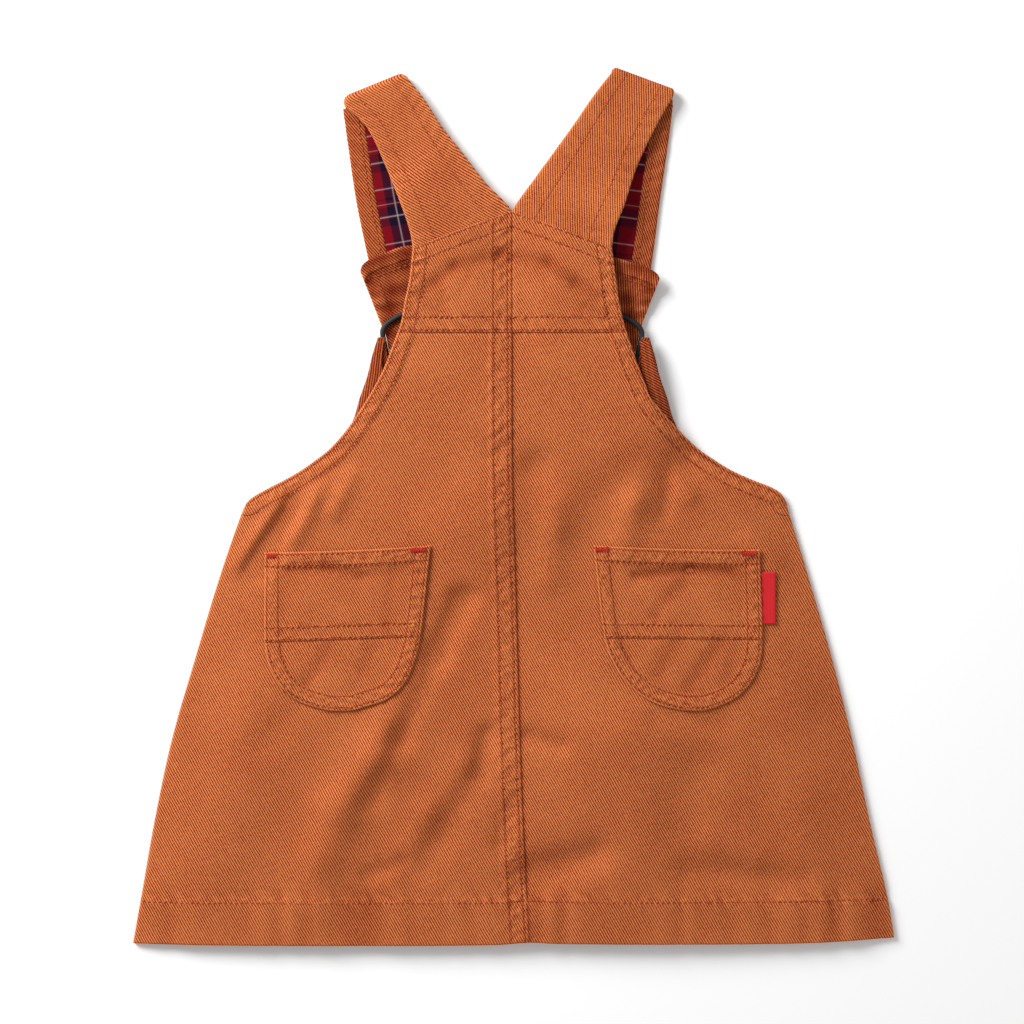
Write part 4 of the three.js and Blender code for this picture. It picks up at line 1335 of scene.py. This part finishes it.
class Sewing:
    """Stitches gathered as places, and then made together as one joined mesh."""

    def __init__(self):
        self.starts = []
        self.ends = []

    def row(self, points, lift=0.12):
        """Stitches one after another along a line of places."""
        points = np.asarray(points, dtype=float)
        steps = np.linalg.norm(np.diff(points, axis=0), axis=1)
        along = np.concatenate([[0], np.cumsum(steps)])
        n = np.arange(int(along[-1] / stitch_pitch))
        start = (n + 0.12) * stitch_pitch
        end = start + stitch_length * (1 + 0.08 * np.sin(2.1 * n))
        course = np.gradient(points, axis=0)
        for s, places, lean in ((start, self.starts, 1), (end, self.ends, -1)):
            place = np.stack([np.interp(s, along, points[:, axis]) for axis in range(3)], 1)
            ahead = np.stack([np.interp(s, along, course[:, axis]) for axis in range(3)], 1)
            aside = np.cross([0, 0, 1], ahead)
            aside = aside / np.linalg.norm(aside, axis=1, keepdims=True)
            slip = stitch_lean * lean + 0.1 * np.sin(1.3 * n + 2.0)
            place = place + aside * slip[:, None] + [0, 0, lift]
            place[:, 2] = np.maximum(place[:, 2], stitch_height / 2)
            places.append(place)

    def make(self, name, finish, width=stitch_width, height=stitch_height):
        """Every stitch is the single one, stretched from its start to its end."""
        start = np.concatenate(self.starts)
        along = np.concatenate(self.ends) - start
        aside = np.cross([0, 0, 1], along)
        aside = aside / np.linalg.norm(aside, axis=1, keepdims=True)
        up = np.cross(along, aside)
        up = up / np.linalg.norm(up, axis=1, keepdims=True)
        axes = np.stack([along, aside * width, up * height], 1)
        count = len(start)
        corner_count = len(single.loops)
        points = np.zeros(len(single.vertices) * 3)
        single.vertices.foreach_get("co", points)
        corners = np.zeros(corner_count, dtype=np.int32)
        single.loops.foreach_get("vertex_index", corners)
        face_starts = np.zeros(len(single.polygons), dtype=np.int32)
        single.polygons.foreach_get("loop_start", face_starts)
        places = np.einsum("va,nax->nvx", points.reshape(-1, 3), axes) + (start + along / 2)[:, None]
        copy = np.arange(count, dtype=np.int32)[:, None]
        mesh = bpy.data.meshes.new(name)
        mesh.vertices.add(count * len(single.vertices))
        mesh.vertices.foreach_set("co", (places * mm).ravel())
        mesh.loops.add(count * corner_count)
        mesh.loops.foreach_set("vertex_index", (corners + copy * len(single.vertices)).ravel())
        mesh.polygons.add(count * len(single.polygons))
        mesh.polygons.foreach_set("loop_start", (face_starts + copy * corner_count).ravel())
        mesh.update(calc_edges=True)
        mesh.materials.append(finish)
        mesh.shade_smooth()
        piece = bpy.data.objects.new(name, mesh)
        bpy.context.collection.objects.link(piece)
        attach(piece, "root")


def on(surface, path):
    """The places of a plan path on a surface."""
    path = np.asarray(path, dtype=float)
    return np.column_stack([path, surface(path[:, 0], path[:, 1])])


def inset_path(path, distance, side):
    """A plan path moved sideways: to its left for side 1, to its right for side -1."""
    path = np.asarray(path, dtype=float)
    tangent = np.gradient(path, axis=0)
    tangent = tangent / np.linalg.norm(tangent, axis=1, keepdims=True)
    normal = np.stack([-tangent[:, 1], tangent[:, 0]], 1)
    return path + normal * distance * side


def back_top(x, y):
    return yoke_top(x, y) - 0.1


def straight(start, end, count=40):
    share = np.linspace(0, 1, count)[:, None]
    return mix(np.array(start, dtype=float), np.array(end, dtype=float), share)


back_sewing = Sewing()
for which, (side, _, _) in buckles.items():
    edge_path = armhole_path(which, 1.0, 128.5)
    for distance in (first_row, second_row):
        row = inset_path(edge_path, distance, side)
        on_yoke = row[:, 1] > yoke_seam_y
        back_sewing.row(on(back_top, row[~on_yoke]))
        back_sewing.row(on(back_top, row[on_yoke]))
seam_y = np.linspace(hem_y + 1.5, apex[1] - 4, 160)
for distance in (seam_row, far_seam_row):
    row = np.stack([read(centre_seam, "x", seam_y) - distance, seam_y], 1)
    back_sewing.row(on(back_top, row))
hem_x = np.linspace(-186, 186, 180)
hem_path = np.stack([hem_x, hemmed(hem_x, np.full_like(hem_x, hem_y + hem_depth))], 1)
back_sewing.row(on(back_top, hem_path))
for distance in (1.1, 7.5):
    level = yoke_seam_y + distance
    left, right = (float(back_edge(which, level)) for which in buckles)
    back_sewing.row(on(back_top, straight((left + 1, level), (right - 1, level), 60)))
for which in buckles:
    chevron_x = np.linspace(chevron_ends[which][0] * 0.98, apex[0], 30)
    for distance in (1.0, 7.4):
        row = np.stack([chevron_x, chevron_y(chevron_x) - distance / chevron_square], 1)
        back_sewing.row(on(back_top, row))
back_sewing.make("back_stitches", thread)

strap_sewing = Sewing()
for which, shape in strap_shapes.items():
    for across in (strap_rows / strap_width, 1 - strap_rows / strap_width):
        s = np.linspace(12, shape.turned - 60, 90)
        share = np.full_like(s, across)
        lift = strap_cloth / 2 + 0.08 + strap_relief(shape, s, share)
        strap_sewing.row(shape.at(s, share) + shape.outward(s, share) * lift[:, None], 0)
    share = np.linspace(0.04, 0.96, 24)
    s = np.full_like(share, shape.length - end_hem)
    lift = strap_cloth / 2 + 0.2 + strap_relief(shape, s, share)
    strap_sewing.row(shape.at(s, share) + shape.outward(s, share) * lift[:, None], 0)
    along = np.linspace(0.02, 0.98, 40)
    x, y, z, _ = inside_strap(which, along, strap_rows, 0.95)
    strap_sewing.row(np.stack([x, y, z + turned_pucker(along, strap_rows)], 1))
strap_sewing.make("strap_stitches", thread, 0.7, 0.5)

pocket_sewing = Sewing()
for which in buckles:
    def round_edge(x, y):
        return pocket_surface(which, x, y)[0] - 0.05

    def on_lap(x, y):
        return pocket_surface(which, x, y)[0] + 0.35

    outline = pocket_outline(which)
    for distance in (first_row, second_row):
        pocket_sewing.row(on(round_edge, inset_path(outline, distance, 1)[1:-1]))
    rows = pocket_tables[which]
    mouth_x = np.linspace(rows["left"][-1] + 2, rows["right"][-1] - 2, 40)
    for distance in (first_row, first_row + mouth_row_gap):
        path = np.stack([mouth_x, pocket_mouth_y(which, mouth_x) - distance], 1)
        pocket_sewing.row(on(on_lap, path))
    for distance in (0, pocket_seam_rows):
        y = pocket_seams[which][0] - distance
        left, right = (float(read(rows, edge, y)) for edge in ("left", "right"))
        seam_x = np.linspace(left + 1.5, right - 1.5, 40)
        path = np.stack([seam_x, pocket_seam_y(which, seam_x) - distance], 1)
        pocket_sewing.row(on(on_lap, path))
pocket_sewing.make("pocket_stitches", thread)


# Bar tacks, four close zigzags of red thread, one at each end of a pocket's mouth. They are sewn
# through the pocket and the skirt, and stop the corners from tearing.
bar_tacks = {
    "left": [(-123.0, -118.2, -24.0), (-51.4, -43.8, -21.2)],
    "right": [(41.4, 47.4, -21.0), (114.0, 121.0, -22.9)],
}
tack_height = 3.2
tack_step = 0.62
tack_lift = 0.7
tacks = Sewing()
for which, places in bar_tacks.items():
    for from_x, to_x, middle_y in places:
        x = np.arange(from_x, to_x, tack_step)
        lean = np.where(np.arange(len(x)) % 2, tack_step, -tack_step)
        z = pocket_surface(which, x, np.full_like(x, middle_y))[0] + tack_lift
        tacks.starts.append(np.stack([x - lean, np.full_like(x, middle_y - tack_height / 2), z], 1))
        tacks.ends.append(np.stack([x + lean, np.full_like(x, middle_y + tack_height / 2), z], 1))
tacks.make("bar_tacks", red_thread, 0.7, 0.6)
